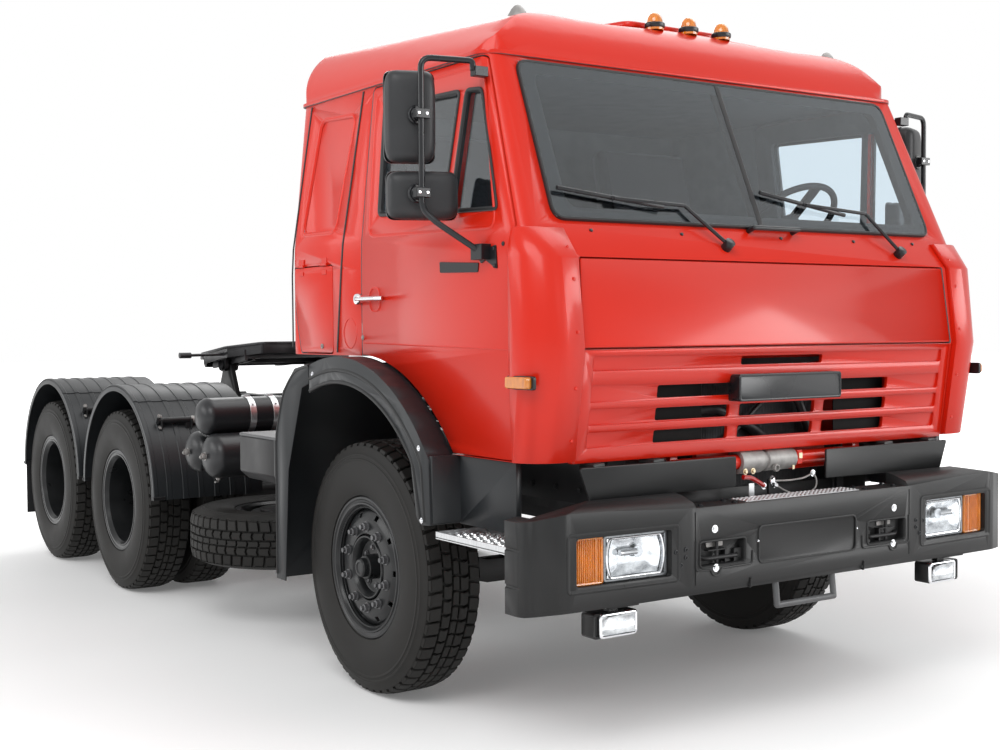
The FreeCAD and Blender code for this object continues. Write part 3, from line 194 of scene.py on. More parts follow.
RED = material("cab_paint", (0.66, 0.018, 0.005), 0.32, coat=0.25, coat_rough=0.14, spec=0.25,
               shade=0.03, shade_scale=1.3, dirt=(1.3, 0.03), grain=0.02, grain_scale=40)
PLASTIC = material("trim_grey", (0.0145, 0.015, 0.0155), 0.42, spec=0.3, shade=0.12, shade_scale=5,
                   rough_vary=0.08, dirt=(1.0, 0.06), grain=0.25, grain_scale=900)
FENDER_GREY = material("fender_grey", (0.016, 0.018, 0.020), 0.38, spec=0.4, shade=0.12, shade_scale=6,
                       rough_vary=0.05)
NUT_GREY = material("nut_grey", (0.13, 0.13, 0.135), 0.34, metal=0.5, shade=0.2, shade_scale=12)
MIRROR_GREY = material("mirror_grey", (0.033, 0.034, 0.036), 0.42, spec=0.3, shade=0.1, shade_scale=9)
SHINY = material("moulded_black", (0.012, 0.013, 0.015), 0.28, spec=0.4, shade=0.15, shade_scale=4,
                 rough_vary=0.08, grain=0.08, grain_scale=200)
FRAME = material("frame_paint", (0.012, 0.012, 0.013), 0.42, spec=0.3, shade=0.3, shade_scale=7,
                 rough_vary=0.12, dirt=(0.9, 0.10), grain=0.3, grain_scale=160)
RIM = material("rim_black", (0.012, 0.013, 0.014), 0.30, spec=0.3, coat=0.1, coat_rough=0.2, shade=0.2,
               shade_scale=9, rough_vary=0.08, dirt=(1.0, 0.04), grain=0.15, grain_scale=120)
TANK = material("tank_black", (0.014, 0.015, 0.017), 0.36, spec=0.4, coat=0.10, coat_rough=0.25, shade=0.2,
                shade_scale=4, rough_vary=0.07, dirt=(1.1, 0.12), grain=0.08, grain_scale=60)
RUBBER = material("tyre", (0.0125, 0.012, 0.0112), 0.62, spec=0.3, shade=0.25, shade_scale=9,
                  rough_vary=0.12, dirt=(1.2, 0.04), grain=0.5, grain_scale=420)
SEAL = material("seal_rubber", (0.010, 0.010, 0.011), 0.5, shade=0.2, shade_scale=10, rough_vary=0.1,
                grain=0.2, grain_scale=300)
IRON = material("coupler", (0.028, 0.028, 0.030), 0.40, metal=0.35, shade=0.4, shade_scale=12,
                rough_vary=0.15, grain=0.5, grain_scale=130)
MACHINE = material("machinery", (0.055, 0.056, 0.060), 0.55, metal=0.3, shade=0.45, shade_scale=11,
                   rough_vary=0.15, dirt=(1.1, 0.3), grain=0.6, grain_scale=110)
STEEL = material("step_metal", (0.58, 0.59, 0.60), 0.32, metal=0.9, shade=0.12, shade_scale=30,
                 rough_vary=0.1, stretch=(1, 6, 1), grain=0.15, grain_scale=350)
CHROME = material("bright_metal", (0.75, 0.76, 0.78), 0.12, metal=1.0, shade=0.05, shade_scale=20,
                  rough_vary=0.05)
ZINC = material("grey_casting", (0.30, 0.29, 0.28), 0.5, metal=0.3, shade=0.25, shade_scale=25,
                rough_vary=0.15, grain=0.5, grain_scale=260)
CLEAR = material("clear_lens", (0.94, 0.96, 0.98), 0.03, transmission=1.0, ior=1.2, grain=0.12,
                 grain_scale=160, stretch=(1, 1, 0.1))
BEZEL = material("lamp_bezel", (0.20, 0.21, 0.22), 0.28, metal=0.7, shade=0.15, shade_scale=20,
                 rough_vary=0.06)
BRASS = material("fitting", (0.62, 0.52, 0.36), 0.3, metal=0.8, shade=0.15, shade_scale=40, rough_vary=0.08)
# light grey; on the battery lid it is painted light, the lit top of a dark box
LID_GREY = material("lid_grey", (0.085, 0.087, 0.09), 0.42, shade=0.18, shade_scale=9, rough_vary=0.1,
                    grain=0.2, grain_scale=200)
AMBER = material("amber_lens", (0.95, 0.27, 0.010), 0.10, coat=0.8, shade=0.22, shade_scale=60,
                 stretch=(2.4, 1, 0.4), grain=0.6, grain_scale=150, transmission=0.25)
RED_LENS = material("red_lens", (0.45, 0.008, 0.006), 0.12, coat=0.8, shade=0.2, shade_scale=60, grain=0.6,
                    grain_scale=150, stretch=(2, 1, 0.5))
SCREEN_EDGE = material("screen_edge", (0.020, 0.022, 0.024), 0.6, spec=0.3)
GLASS = material("window_glass", (0.84, 0.92, 0.97), 0.012, transmission=1.0, ior=1.5)
FABRIC = material("seat_fabric", (0.050, 0.050, 0.056), 0.85, sheen=0.4, shade=0.35, shade_scale=90,
                  grain=0.8, grain_scale=700)
PANEL = material("dash_plastic", (0.030, 0.031, 0.034), 0.6, shade=0.15, shade_scale=12, rough_vary=0.1,
                 grain=0.4, grain_scale=700)
LINING = material("cab_lining", (0.17, 0.18, 0.19), 0.8, shade=0.12, shade_scale=14, grain=0.5,
                  grain_scale=500)
# near-black: the real colour of the bumper's seams, and painted shade on the sheets behind the grille and
# beside the cooler
SEAM_AND_SHADE_BLACK = material("seam_and_shade_black", (0.006, 0.006, 0.006), 0.8, spec=0.2, shade=0.2, shade_scale=20)
HOSE = material("hose_rubber", (0.020, 0.020, 0.022), 0.45, shade=0.25, shade_scale=30, grain=0.3,
                grain_scale=400)
# the strong light and dark blotches in the reflector's colour are painted reflection, standing for the glints
# of a faceted lamp reflector
GLINT_REFLECTOR = material("reflector", (0.66, 0.68, 0.70), 0.10, metal=1.0, shade=0.5, shade_scale=16,
                     grain=0.5, grain_scale=38, stretch=(1, 1, 1.6), noise_detail=2.0)


# Shapes: each is (vertices in millimetres, faces)

def merge(*shapes):
    verts, faces = [], []
    for v, f in shapes:
        start = len(verts)
        verts += v
        faces += [tuple(i + start for i in face) for face in f]
    return verts, faces


def block(x0, x1, y0, y1, z0, z1):
    verts = [(x, y, z) for z in (z0, z1) for y in (y0, y1) for x in (x0, x1)]
    return verts, [(0, 2, 3, 1), (4, 5, 7, 6), (0, 1, 5, 4), (2, 6, 7, 3), (0, 4, 6, 2), (1, 3, 7, 5)]


def moved(shape, dx=0, dy=0, dz=0):
    return [(x + dx, y + dy, z + dz) for x, y, z in shape[0]], shape[1]


def flipped(shape):
    """The mirror image across the centre plane."""
    return [(-x, y, z) for x, y, z in shape[0]], [tuple(reversed(face)) for face in shape[1]]


def both(*shapes):
    """The shapes of one side and their mirror images."""
    shape = merge(*shapes)
    return merge(shape, flipped(shape))


def sided(s, *shapes):
    """Shapes of the right side, mirrored where s is 1 for the left."""
    shape = merge(*shapes)
    return flipped(shape) if s > 0 else shape


def turned(shape, angle, axis, centre=(0, 0, 0)):
    spin = Matrix.Rotation(math.radians(angle), 3, axis)
    pivot = Vector(centre)
    return [tuple(spin @ (Vector(v) - pivot) + pivot) for v in shape[0]], shape[1]


def ring_faces(first, second, count):
    """Four-sided faces between two closed rings of vertices."""
    pairs = [(i, (i + 1) % count) for i in range(count)]
    return [(first + i, first + j, second + j, second + i) for i, j in pairs]


def crossed(faces):
    """The same faces, each in the opposite order."""
    return [(a, d, c, b) for a, b, c, d in faces]


def lathe(profile, centre=(0, 0, 0), axis="X", steps=64, closed=True, skip=()):
    """Surface of revolution of (distance along the axis, radius); skip names (row, step) holes."""
    verts, faces = [], []
    for along, radius in profile:
        for i in range(steps):
            a = 2 * math.pi * i / steps
            p = (along, radius * math.cos(a), radius * math.sin(a))
            p = {"X": p, "Y": (p[1], p[0], p[2]), "Z": (p[1], p[2], p[0])}[axis]
            verts.append((p[0] + centre[0], p[1] + centre[1], p[2] + centre[2]))
    rows = len(profile)
    for row in range(rows if closed else rows - 1):
        strip_faces = ring_faces(row * steps, (row + 1) % rows * steps, steps)
        faces += [face for i, face in enumerate(strip_faces) if (row, i) not in skip]
    return verts, faces


def smooth_path(points, bend, closed=False):
    """The points with each corner rounded off over the length bend."""
    pts = [Vector(p) for p in points]
    result = []
    count = len(pts)
    for i, here in enumerate(pts):
        if not closed and i in (0, count - 1):
            result.append(here)
            continue
        back = pts[i - 1] - here
        ahead = pts[(i + 1) % count] - here
        reach = min(bend, back.length * 0.45, ahead.length * 0.45)
        a, b = here + back.normalized() * reach, here + ahead.normalized() * reach
        for step in range(6):
            t = step / 5
            result.append(a * (1 - t) ** 2 + here * 2 * t * (1 - t) + b * t ** 2)
    return result


def tube(points, radius, bend=0, sides=10, flat=1.0):
    """Round bar along points; flat squeezes its height."""
    path = smooth_path(points, bend) if bend else [Vector(p) for p in points]
    count = len(path)
    verts, faces = [], []
    side = None
    for i, here in enumerate(path):
        along = (path[min(i + 1, count - 1)] - path[max(i - 1, 0)]).normalized()
        if side is None:
            side = along.cross(Vector((0.13, 0.31, 0.94))).normalized()
        side = (side - along * side.dot(along)).normalized()
        up = along.cross(side)
        for k in range(sides):
            a = 2 * math.pi * k / sides
            verts.append(tuple(here + (side * math.cos(a) + up * math.sin(a) * flat) * radius))
    for i in range(count - 1):
        faces += ring_faces(i * sides, (i + 1) * sides, sides)
    return verts, faces + [tuple(reversed(range(sides))), tuple(range((count - 1) * sides, count * sides))]


def rect(u, half_u, v, half_v):
    left, right, low, high = u - half_u, u + half_u, v - half_v, v + half_v
    return [(left, low), (right, low), (right, high), (left, high)]


def round_outline(points, radius):
    return [(p.x, p.y) for p in smooth_path([(u, v, 0) for u, v in points], radius, True)]


def round_rect(u, half_u, v, half_v, radius):
    return round_outline(rect(u, half_u, v, half_v), radius)


def offset(outline, margin):
    """Closed outline moved outwards by margin along its corners' bisectors."""
    count = len(outline)
    area = sum(outline[i - 1][0] * outline[i][1] - outline[i][0] * outline[i - 1][1] for i in range(count))
    turn = 1 if area > 0 else -1
    result = []
    for i in range(count):
        before, here, after = (Vector(outline[j % count]) for j in (i - 1, i, i + 1))
        one, two = (here - before).normalized(), (after - here).normalized()
        n = (Vector((one.y, -one.x)) + Vector((two.y, -two.x))).normalized() * turn
        scale = 1 / max(0.4, n.dot(Vector((one.y, -one.x)) * turn))
        result.append(tuple(here + n * margin * scale))
    return result


# Where a flat outline (u, v) lies on the truck; lift goes outwards

def facing_front(y):
    return lambda u, v, lift: (u, y - lift, v)


def facing_rear(y):
    return lambda u, v, lift: (u, y + lift, v)


def facing_right(x):
    return lambda u, v, lift: (x - lift, u, v)


def facing_up(z):
    return lambda u, v, lift: (u, v, z + lift)


def plate(outline, place, thick):
    """Flat or curved plate over a closed outline; place(u, v, lift) gives the 3-D point."""
    count = len(outline)
    verts = [tuple(place(u, v, lift)) for lift in (0, thick) for u, v in outline]
    ends = [tuple(reversed(range(count))), tuple(range(count, 2 * count))]
    return verts, ends + ring_faces(0, count, count)


def gasket(outline, place, profile):
    """Moulding that follows a closed outline; profile lists (margin, lift) from outside to inside."""
    rings = [offset(outline, margin) for margin, _ in profile]
    count = len(outline)
    verts = [tuple(place(u, v, lift)) for ring, (_, lift) in zip(rings, profile) for u, v in ring]
    faces = []
    for row in range(len(profile) - 1):
        faces += crossed(ring_faces(row * count, (row + 1) * count, count))
    return verts, faces


def axes_of(direction):
    """Unit vectors along a direction and two across it."""
    out = Vector(direction).normalized()
    one = out.cross(Vector((0.2, 0.5, 0.84))).normalized()
    return out, one, out.cross(one)


def ring_about(centre, axes, radius, lift, sides):
    """Points of a ring round the first axis, lifted along it."""
    out, one, two = axes
    angles = [2 * math.pi * k / sides for k in range(sides)]
    return [tuple(Vector(centre) + out * lift + (one * math.cos(a) + two * math.sin(a)) * radius)
            for a in angles]


def hex_bolt(centre, direction, radius=9, height=7, washer=1.5):
    """Six-sided bolt head on a washer."""
    axes = axes_of(direction)
    rings = [(radius * washer, 0, 12), (radius * washer, height * 0.3, 12)]
    rings += [(radius, height * 0.3, 6), (radius, height * 0.9, 6), (radius * 0.8, height, 6)]
    verts, faces = [], []
    last = None
    for r, lift, sides in rings:
        start = len(verts)
        verts += ring_about(centre, axes, r, lift, sides)
        if last and last[1] == sides:
            faces += ring_faces(last[0], start, sides)
        elif last:
            faces.append(tuple(range(last[0], last[0] + last[1])))
        last = (start, sides)
    faces.append(tuple(range(last[0], last[0] + last[1])))
    return verts, faces


def rivets(points, direction, radius=6, height=4):
    """Small round heads."""
    axes, sides = axes_of(direction), 10
    faces = ring_faces(0, sides, sides) + ring_faces(sides, 2 * sides, sides)
    faces.append(tuple(range(2 * sides, 3 * sides)))
    heads = []
    for centre in points:
        verts = []
        for r, lift in ((radius, -1), (radius, height * 0.5), (radius * 0.6, height)):
            verts += ring_about(centre, axes, r, lift, sides)
        heads.append((verts, faces))
    return merge(*heads)


# Objects

BEVEL_ANGLE = math.radians(32)


def piece(name, shape, finish, body="chassis", stands_for=(), bevel=0.0, segments=2, smooth=35, solid=0.0):
    """Makes one object from a shape, rides it on a body and gives it its material."""
    mesh = bpy.data.meshes.new(name)
    mesh.from_pydata([at(*v) for v in shape[0]], [], shape[1])
    mesh.update()
    obj = bpy.data.objects.new(name, mesh)
    scene.collection.objects.link(obj)
    mesh.materials.append(finish)
    recalculate(mesh)
    if solid:
        layer = obj.modifiers.new("thickness", "SOLIDIFY")
        layer.thickness = solid / 1000
        layer.offset = 0
    if bevel:
        add_bevel(obj, bevel, segments)
    mesh.shade_smooth()
    mesh.set_sharp_from_angle(angle=math.radians(smooth))
    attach(obj, body)
    if stands_for:
        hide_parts(*stands_for)


def recalculate(mesh):
    """Turns all faces outwards."""
    work = bmesh.new()
    work.from_mesh(mesh)
    bmesh.ops.recalc_face_normals(work, faces=work.faces)
    work.to_mesh(mesh)
    work.free()


def add_bevel(obj, width, segments=2):
    edge = obj.modifiers.new("edges", "BEVEL")
    edge.width = width / 1000
    edge.segments = segments
    edge.limit_method = "ANGLE"
    edge.angle_limit = BEVEL_ANGLE
    edge.harden_normals = True
    edge.use_clamp_overlap = True


def dress(node, finish, bevel=0.0):
    """Gives a CAD node its material, joined and softened edges and smooth shading."""
    obj = nodes[node]
    obj.data.materials.clear()
    obj.data.materials.append(finish)
    if "custom_normal" in obj.data.attributes:
        obj.data.attributes.remove(obj.data.attributes["custom_normal"])
    weld = obj.modifiers.new("weld", "WELD")
    weld.merge_threshold = 0.00001
    flat = obj.modifiers.new("flat", "DECIMATE")
    flat.decimate_type = "DISSOLVE"
    flat.angle_limit = math.radians(0.6)
    flat.delimit = {"NORMAL", "MATERIAL"}
    if bevel:
        add_bevel(obj, bevel)
    obj.data.shade_smooth()
    sharp = obj.modifiers.new("sharp", "NODES")
    sharp.node_group = SHARP_TREE


def sharp_tree(angle):
    """Geometry nodes that keep edges sharp above an angle and smooth below it."""
    tree = bpy.data.node_groups.new("sharp_edges", "GeometryNodeTree")
    for way in ("INPUT", "OUTPUT"):
        tree.interface.new_socket("Geometry", in_out=way, socket_type="NodeSocketGeometry")
    start = tree.nodes.new("NodeGroupInput")
    end = tree.nodes.new("NodeGroupOutput")
    edge = tree.nodes.new("GeometryNodeInputMeshEdgeAngle")
    test = tree.nodes.new("FunctionNodeCompare")
    test.operation = "LESS_EQUAL"
    test.inputs["B"].default_value = math.radians(angle)
    soft = tree.nodes.new("GeometryNodeSetShadeSmooth")
    soft.domain = "EDGE"
    tree.links.new(start.outputs[0], soft.inputs["Geometry"])
    tree.links.new(edge.outputs["Unsigned Angle"], test.inputs["A"])
    tree.links.new(test.outputs["Result"], soft.inputs["Shade Smooth"])
    tree.links.new(soft.outputs["Geometry"], end.inputs[0])
    return tree


SHARP_TREE = sharp_tree(30)


# Where the cab's outer faces are

def section(z, column):
    """Value of a column of the cab's sections at a height."""
    rows = CAB_SECTIONS
    for low, high in zip(rows[:-1], rows[1:]):
        if z <= high[0] or high is rows[-1]:
            t = (z - low[0]) / (high[0] - low[0])
            return low[column] + t * (high[column] - low[column])


def cab_front(z):
    return section(z, 2)


def right_side(y, z, lift):
    """Point on the cab's right side, lift outwards."""
    return (-section(z, 1) - lift, y, z)


def on_front(u, v, lift):
    """Point on the cab's front over the windscreen, lift square to the sloping glass."""
    return (u, cab_front(v) - 0.91 * lift, v + 0.4 * lift)


def roof_z(x, y):
    """Height of the roof's outer face near its middle."""
    return 2692 + 113 * (y + 708) / 1348 - 20 * (x / 600) ** 2


def on_roof(x, y, lift):
    return (x, y, roof_z(x, y) + lift)


# Wheels

def crown(x):
    """Radius of the tread's surface."""
    return TYRE_R - 8 * (max(0.0, abs(x) - 60) / 45) ** 2


def tread_block(corners):
    """One raised block: corners list (x, distance along the tread); its sides lean in a little."""
    count = len(corners)
    mid_x = sum(c[0] for c in corners) / count
    mid_t = sum(c[1] for c in corners) / count
    verts = []
    for shrink, drop in ((1.0, TREAD_DEPTH + 2), (0.97, 2.5), (0.88, 0)):
        for x, t in corners:
            px, pt = mid_x + (x - mid_x) * shrink, mid_t + (t - mid_t) * shrink
            r = crown(px) - drop
            a = pt / TYRE_R
            verts.append((px, r * math.sin(a), r * math.cos(a)))
    faces = ring_faces(0, count, count) + ring_faces(count, 2 * count, count)
    return verts, faces + [tuple(range(2 * count, 3 * count))]


def tread_pitch():
    """One repeat of the tread: shoulder blocks, six-sided inner blocks and the narrow middle rib."""
    step = 2 * math.pi * TYRE_R / TREAD_REPEATS
    gap = 4.5
    blocks = []
    for s, phase in ((-1, 0.0), (1, 0.45 * step)):
        a, b = phase + gap, phase + step - gap
        shoulder = [(62, a + 5), (86, a + 1), (110, a - 2), (110, b - 6), (86, b + 1), (62, b + 4)]
        blocks.append(tread_block([(s * x, t) for x, t in shoulder]))
        shift = 0.5 * step
        a, b = phase + shift + gap - 1, phase + shift + step - gap + 1
        inner = [(20, a), (38, a - 5), (55, a + 3), (56, b - 1), (38, b - 7), (19, b - 2)]
        blocks.append(tread_block([(s * x, t) for x, t in inner]))
        wall = []
        for x, r in ((110, 511), (114, 500), (122, 486)):
            for t in (a - shift + 5, b - shift - 8):
                wall.append((s * (x + 1), r * math.sin(t / TYRE_R), r * math.cos(t / TYRE_R)))
        root = [(v[0] - s * 8, v[1] * 0.965, v[2] * 0.965) for v in wall]
        faces = [(0, 1, 3, 2), (2, 3, 5, 4), (0, 2, 8, 6), (2, 4, 10, 8), (1, 7, 9, 3), (3, 9, 11, 5),
                 (4, 5, 11, 10)]
        blocks.append((wall + root, faces))
    rib = [(-13, gap - 3), (0, gap + 1), (13, gap - 4), (13, step - 6), (0, step - 1.5), (-13, step - 5)]
    return merge(*blocks, tread_block(rib))


def tyre_shape():
    """Tyre about the x axis at the origin: body with sidewall mouldings, and the tread blocks."""
    side = [(104, 256), (110, 262), (112, 290), (119, 297), (123, 296), (126, 303), (134, 330),
            (138.5, 360), (139, 390), (137, 418), (134, 438), (135.5, 442), (135.5, 447), (132.5, 450),
            (131, 457), (132.5, 460), (132, 466), (129, 469), (125, 482), (117, 499), (106, 499),
            (60, 505), (0, 506)]
    profile = [(-x, r) for x, r in side] + [(x, r) for x, r in reversed(side[:-1])]
    profile += [(90, 290), (0, 300), (-90, 290)]
    one = tread_pitch()
    blocks = [turned(one, 360 * i / TREAD_REPEATS, "X") for i in range(TREAD_REPEATS)]
    return merge(lathe(profile, steps=108), *blocks)


TYRE = tyre_shape()


def tyre_piece(name, centres, y, z, body, stands_for):
    placed = [moved(turned(TYRE, 7 * i + y * 0.01, "X"), x, y, z) for i, x in enumerate(centres)]
    piece(name, merge(*placed), RUBBER, body, stands_for, smooth=28)


def wheel_lathe(profile, centre, outwards, y, **kw):
    """Wheel part whose profile counts outwards from the wheel's middle plane."""
    return lathe([(outwards * a, r) for a, r in profile], (centre, y, AXLE_Z), **kw)


BARREL = [(109, 257), (110, 287), (113, RIM_LIP), (118, RIM_LIP), (121, 288), (121, 281), (117, 275),
          (116, 268), (120, 265), (120, 259), (114, 253), (104, 249), (96, 243), (40, 238), (-96, 243),
          (-108, 247), (-120, 262), (-121, 288), (-113, RIM_LIP), (-110, 287), (-109, 257), (-92, 253),
          (92, 253)]


def around(x, y, radius, degrees):
    """Point on a circle about a wheel's axle."""
    a = math.radians(degrees)
    return (x, y + radius * math.sin(a), AXLE_Z + radius * math.cos(a))


def cap_bolts(x, y, radius, outwards, size, height, start=0):
    """Eight bolts in a ring on a hub."""
    return [hex_bolt(around(x, y, radius, 45 * i + start), (outwards, 0, 0), size, height) for i in range(8)]


def wheel_nuts(face, centre, outwards, y, length):
    """Ring of wheel nuts with studs on the disc face."""
    made = []
    for i in range(NUT_COUNT):
        spot = around(centre + outwards * face, y, NUT_RADIUS, 360 / NUT_COUNT * i)
        made.append(hex_bolt(spot, (outwards, 0, 0), 17, length * 0.7, 1.28))
        tip = (spot[0] + outwards * length, spot[1], spot[2])
        made.append(tube([spot, tip], 10, sides=10))
    return merge(*made)


def front_wheel(side, s):
    """Steered wheel: dished disc with its hand holes, barrel, hub, nuts and tyre."""
    x, body = s * FRONT_TRACK, "front_wheel_" + side
    holes = {(5, (12 * i + k) % 120) for i in range(10) for k in (-1, 0)}
    dish = [(24, 246), (46, 244), (62, 242), (76, 239), (85, 233), (91.5, 224), (100.5, 205), (104, 196),
            (104, 137)]
    disc = wheel_lathe(dish, x, s, 0, closed=False, skip=holes, steps=120)
    piece("front_disc_" + side, disc, RIM, body, ("front_rim_" + side,), bevel=2, solid=9)
    hub = [(60, 205), (92, 150), (92, 134), (107, 131), (113, 128), (113, 122), (106, 117), (98, 112),
           (76, 108), (72, 100), (72, 52), (118, 50), (122, 46), (122, 40), (140, 38), (146, 33),
           (147, 24), (143, 20), (143, 0.5), (40, 0.5), (0, 150), (0, 205)]
    drum = wheel_lathe([(-58, 205), (-58, 100), (60, 100), (60, 205)], x, s, 0)
    lock = wheel_lathe([(97, 247), (99, 252), (107, 252), (110, 247), (107, 243), (99, 243)], x, s, 0)
    barrel = wheel_lathe(BARREL, x, s, 0, steps=96)
    piece("front_barrel_" + side, merge(barrel, lock), RIM, body, smooth=25)
    piece("front_hub_" + side, merge(wheel_lathe(hub, x, s, 0, steps=80), drum), RIM, body, smooth=30)
    nuts = wheel_nuts(104, x, s, 0, 36)
    cap = cap_bolts(x + s * 72, 0, 80, s, 9, 11, 10)
    piece("front_nuts_" + side, merge(nuts, *cap), NUT_GREY, body)
    tyre_piece("front_tyre_tread_" + side, (x,), 0, AXLE_Z, body, ("front_tyre_" + side,))


def dual_wheel(label, side, s, y):
    """Twin wheels of a drive axle: both rims, the hub and both tyres."""
    body = f"{label}_wheel_{side}"
    mid = s * (DUAL_INNER + DUAL_OUTER) / 2
    dish = [(13, 138), (13, 205), (20, 218), (45, 236), (70, 243), (84, 245), (84, 238), (72, 236),
            (50, 229), (30, 214), (2, 205), (2, 138)]
    rims = merge(wheel_lathe(BARREL, s * DUAL_OUTER, s, y, steps=96),
                 wheel_lathe(BARREL, s * DUAL_INNER, -s, y, steps=96),
                 wheel_lathe(dish, mid, s, y), wheel_lathe([(-a, r) for a, r in dish], mid, s, y))
    piece(f"{label}_rims_detail_{side}", rims, RIM, body, (f"{label}_rims_{side}",), smooth=25)
    hub = [(-14, 136), (-14, 180), (14, 180), (14, 136), (90, 126), (118, 118), (124, 110), (132, 106),
           (150, 104), (154, 98), (154, 74), (160, 66), (160, 1), (-250, 1), (-250, 205), (-90, 205),
           (-90, 150)]
    studs = cap_bolts(mid + s * 153, y, 88, s, 8, 9)
    hub = merge(wheel_lathe(hub, mid, s, y), wheel_nuts(14, mid, s, y, 40), *studs)
    piece(f"{label}_hub_{side}", hub, FRAME, body, smooth=30)
    tyre_piece(f"{label}_tyres_tread_{side}", (s * DUAL_OUTER, s * DUAL_INNER), y, AXLE_Z, body,
               (f"{label}_tyres_{side}",))


def spare_wheel():
    """Spare wheel lying flat under the frame on the right."""
    tread = moved(turned(TYRE, 90, "Y"), *SPARE)
    piece("spare_tread", tread, RUBBER, "chassis", ("spare_tyre",), smooth=28)
    dish = [(-24, 244), (-58, 241), (-86, 231), (-102, 208), (-104, 196), (-104, 136), (-95, 136),
            (-92, 196), (-78, 222), (-40, 236)]
    rim = turned(merge(lathe(BARREL, steps=80), lathe(dish)), 90, "Y")
    piece("spare_rim_detail", moved(rim, *SPARE), RIM, "chassis", ("spare_rim",), smooth=25)


for side, s in SIDES:
    front_wheel(side, s)
    for label, axle_y in zip(("middle", "rear"), REAR_AXLES):
        dual_wheel(label, side, s, axle_y)
spare_wheel()


# CAD nodes that keep their shape

for names, finish, bevel in (
    (("cab_shell",), RED, 2.5),
    (("grille_panel", "front_lid", "corner_panels"), RED, 3.0),
    (("door_right", "door_left"), RED, 3.0),
    (("locker_lid_right", "locker_lid_left", "roof_hatch"), RED, 4.0),
    (("windscreen_seal",), SEAL, 3.0),
    (("door_glass_right", "door_glass_left"), GLASS, 0),
    (("wipers",), SHINY, 2.0),
    (("valances",), PLASTIC, 4.0),
    (("cab_arches", "front_mudguards"), FENDER_GREY, 4.0),
    (("front_bumper",), PLASTIC, 5.0),
    (("chassis_frame", "front_axle", "leaf_springs", "fifth_wheel_stand", "drive_axles"), FRAME, 3.0),
    (("knuckle_right", "knuckle_left", "tie_rod", "battery_box"), FRAME, 2.0),
    (("powertrain",), MACHINE, 8.0),
    (("fifth_wheel_plate",), IRON, 4.0),
    (("turn_lenses",), AMBER, 4.0),
    (("roof_lamps",), AMBER, 3.0),
    (("rear_lamps",), RED_LENS, 4.0),
    (("lamp_lenses",), CLEAR, 4.0),
    (("side_steps",), STEEL, 2.0),
    (("rear_fenders",), PLASTIC, 2.0),
    (("air_tanks", "fuel_tank", "air_intake"), TANK, 6.0),
    (("seats",), FABRIC, 10.0),
    (("dashboard", "steering_wheel"), PANEL, 4.0),
):
    for name in names:
        dress(name, finish, bevel)


def paint_faces(node, finish, chosen):
    """Second finish on the faces of a CAD node that chosen(centre in millimetres, normal) picks."""
    mesh = nodes[node].data
    mesh.materials.append(finish)
    for face in mesh.polygons:
        centre = face.center * 1000
        centre.y -= FRONT_AXLE_Y
        if chosen(centre, face.normal):
            face.material_index = len(mesh.materials) - 1


def inside_cab(centre, normal):
    return centre.z > 1300 and normal.dot(Vector((0, -200, 1950)) - centre) > 0


def in_wheel_well(centre, normal):
    return abs(math.hypot(centre.y, centre.z - AXLE_Z) - WELL_R) < 8


def blank_badge(centre, normal):
    return abs(centre.x) < 275 and 1215 < centre.z < 1327 and centre.y < cab_front(centre.z) - 0.15


def step_bar(centre, normal):
    return centre.z < 544 and abs(centre.x) < 170


for name in ("cab_shell", "door_right", "door_left"):
    paint_faces(name, LINING, inside_cab)
    paint_faces(name, FRAME, in_wheel_well)
paint_faces("grille_panel", SHINY, blank_badge)
paint_faces("front_bumper", LID_GREY, step_bar)


# Front bumper, lamps and steps

def on_bumper(x, z, lift):
    """Point on the bumper's front, which is flat in the middle and swept back towards its ends."""
    return (x, BUMPER_FRONT + max(0, abs(x) - BUMPER_FLAT) * BUMPER_SWEEP - lift, z)


BEAD = [(4, 0), (3, 2.2), (0, 3), (-3, 2.2), (-4, 0)]
# the bead round each towing eye's opening, as (x, z)
TOW_BEAD = [(562, 748), (562, 640), (492, 639), (486, 621), (469, 615), (452, 621), (446, 639), (292, 641),
            (290, 690)]


def reflector_bowl(x, z, half_x, half_z, mouth, floor_y):
    """Rounded rectangular bowl, with its mouth at y = mouth."""
    verts, faces = [], []
    steps = 14
    for i in range(steps + 1):
        for j in range(steps + 1):
            u, v = 2 * i / steps - 1, 2 * j / steps - 1
            bulge = max(0.0, 1 - (abs(u) ** 2.6 + abs(v) ** 2.6) * 0.75)
            verts.append((x + u * half_x, mouth + (floor_y - mouth) * bulge, z + v * half_z))
    for i in range(steps):
        for j in range(steps):
            a = i * (steps + 1) + j
            faces.append((a, a + 1, a + steps + 2, a + steps + 1))
    return verts, faces


def lamp_face(u, v, lift):
    """Point on the swept front plane of a head lamp."""
    return (u, -1347.5 + (abs(u) - 670) * 0.036 - lift, v)


def barrel_outline(x, z, half_x, half_z, bulge):
    """Rectangle whose two upright sides bow outwards."""
    heights = (-1, -0.75, -0.45, -0.15, 0.15, 0.45, 0.75, 1)
    side = [(half_x + bulge * (1 - t * t), half_z * t) for t in heights]
    return round_outline([(x + u, z + v) for u, v in side] + [(x - u, z - v) for u, v in side], 5)


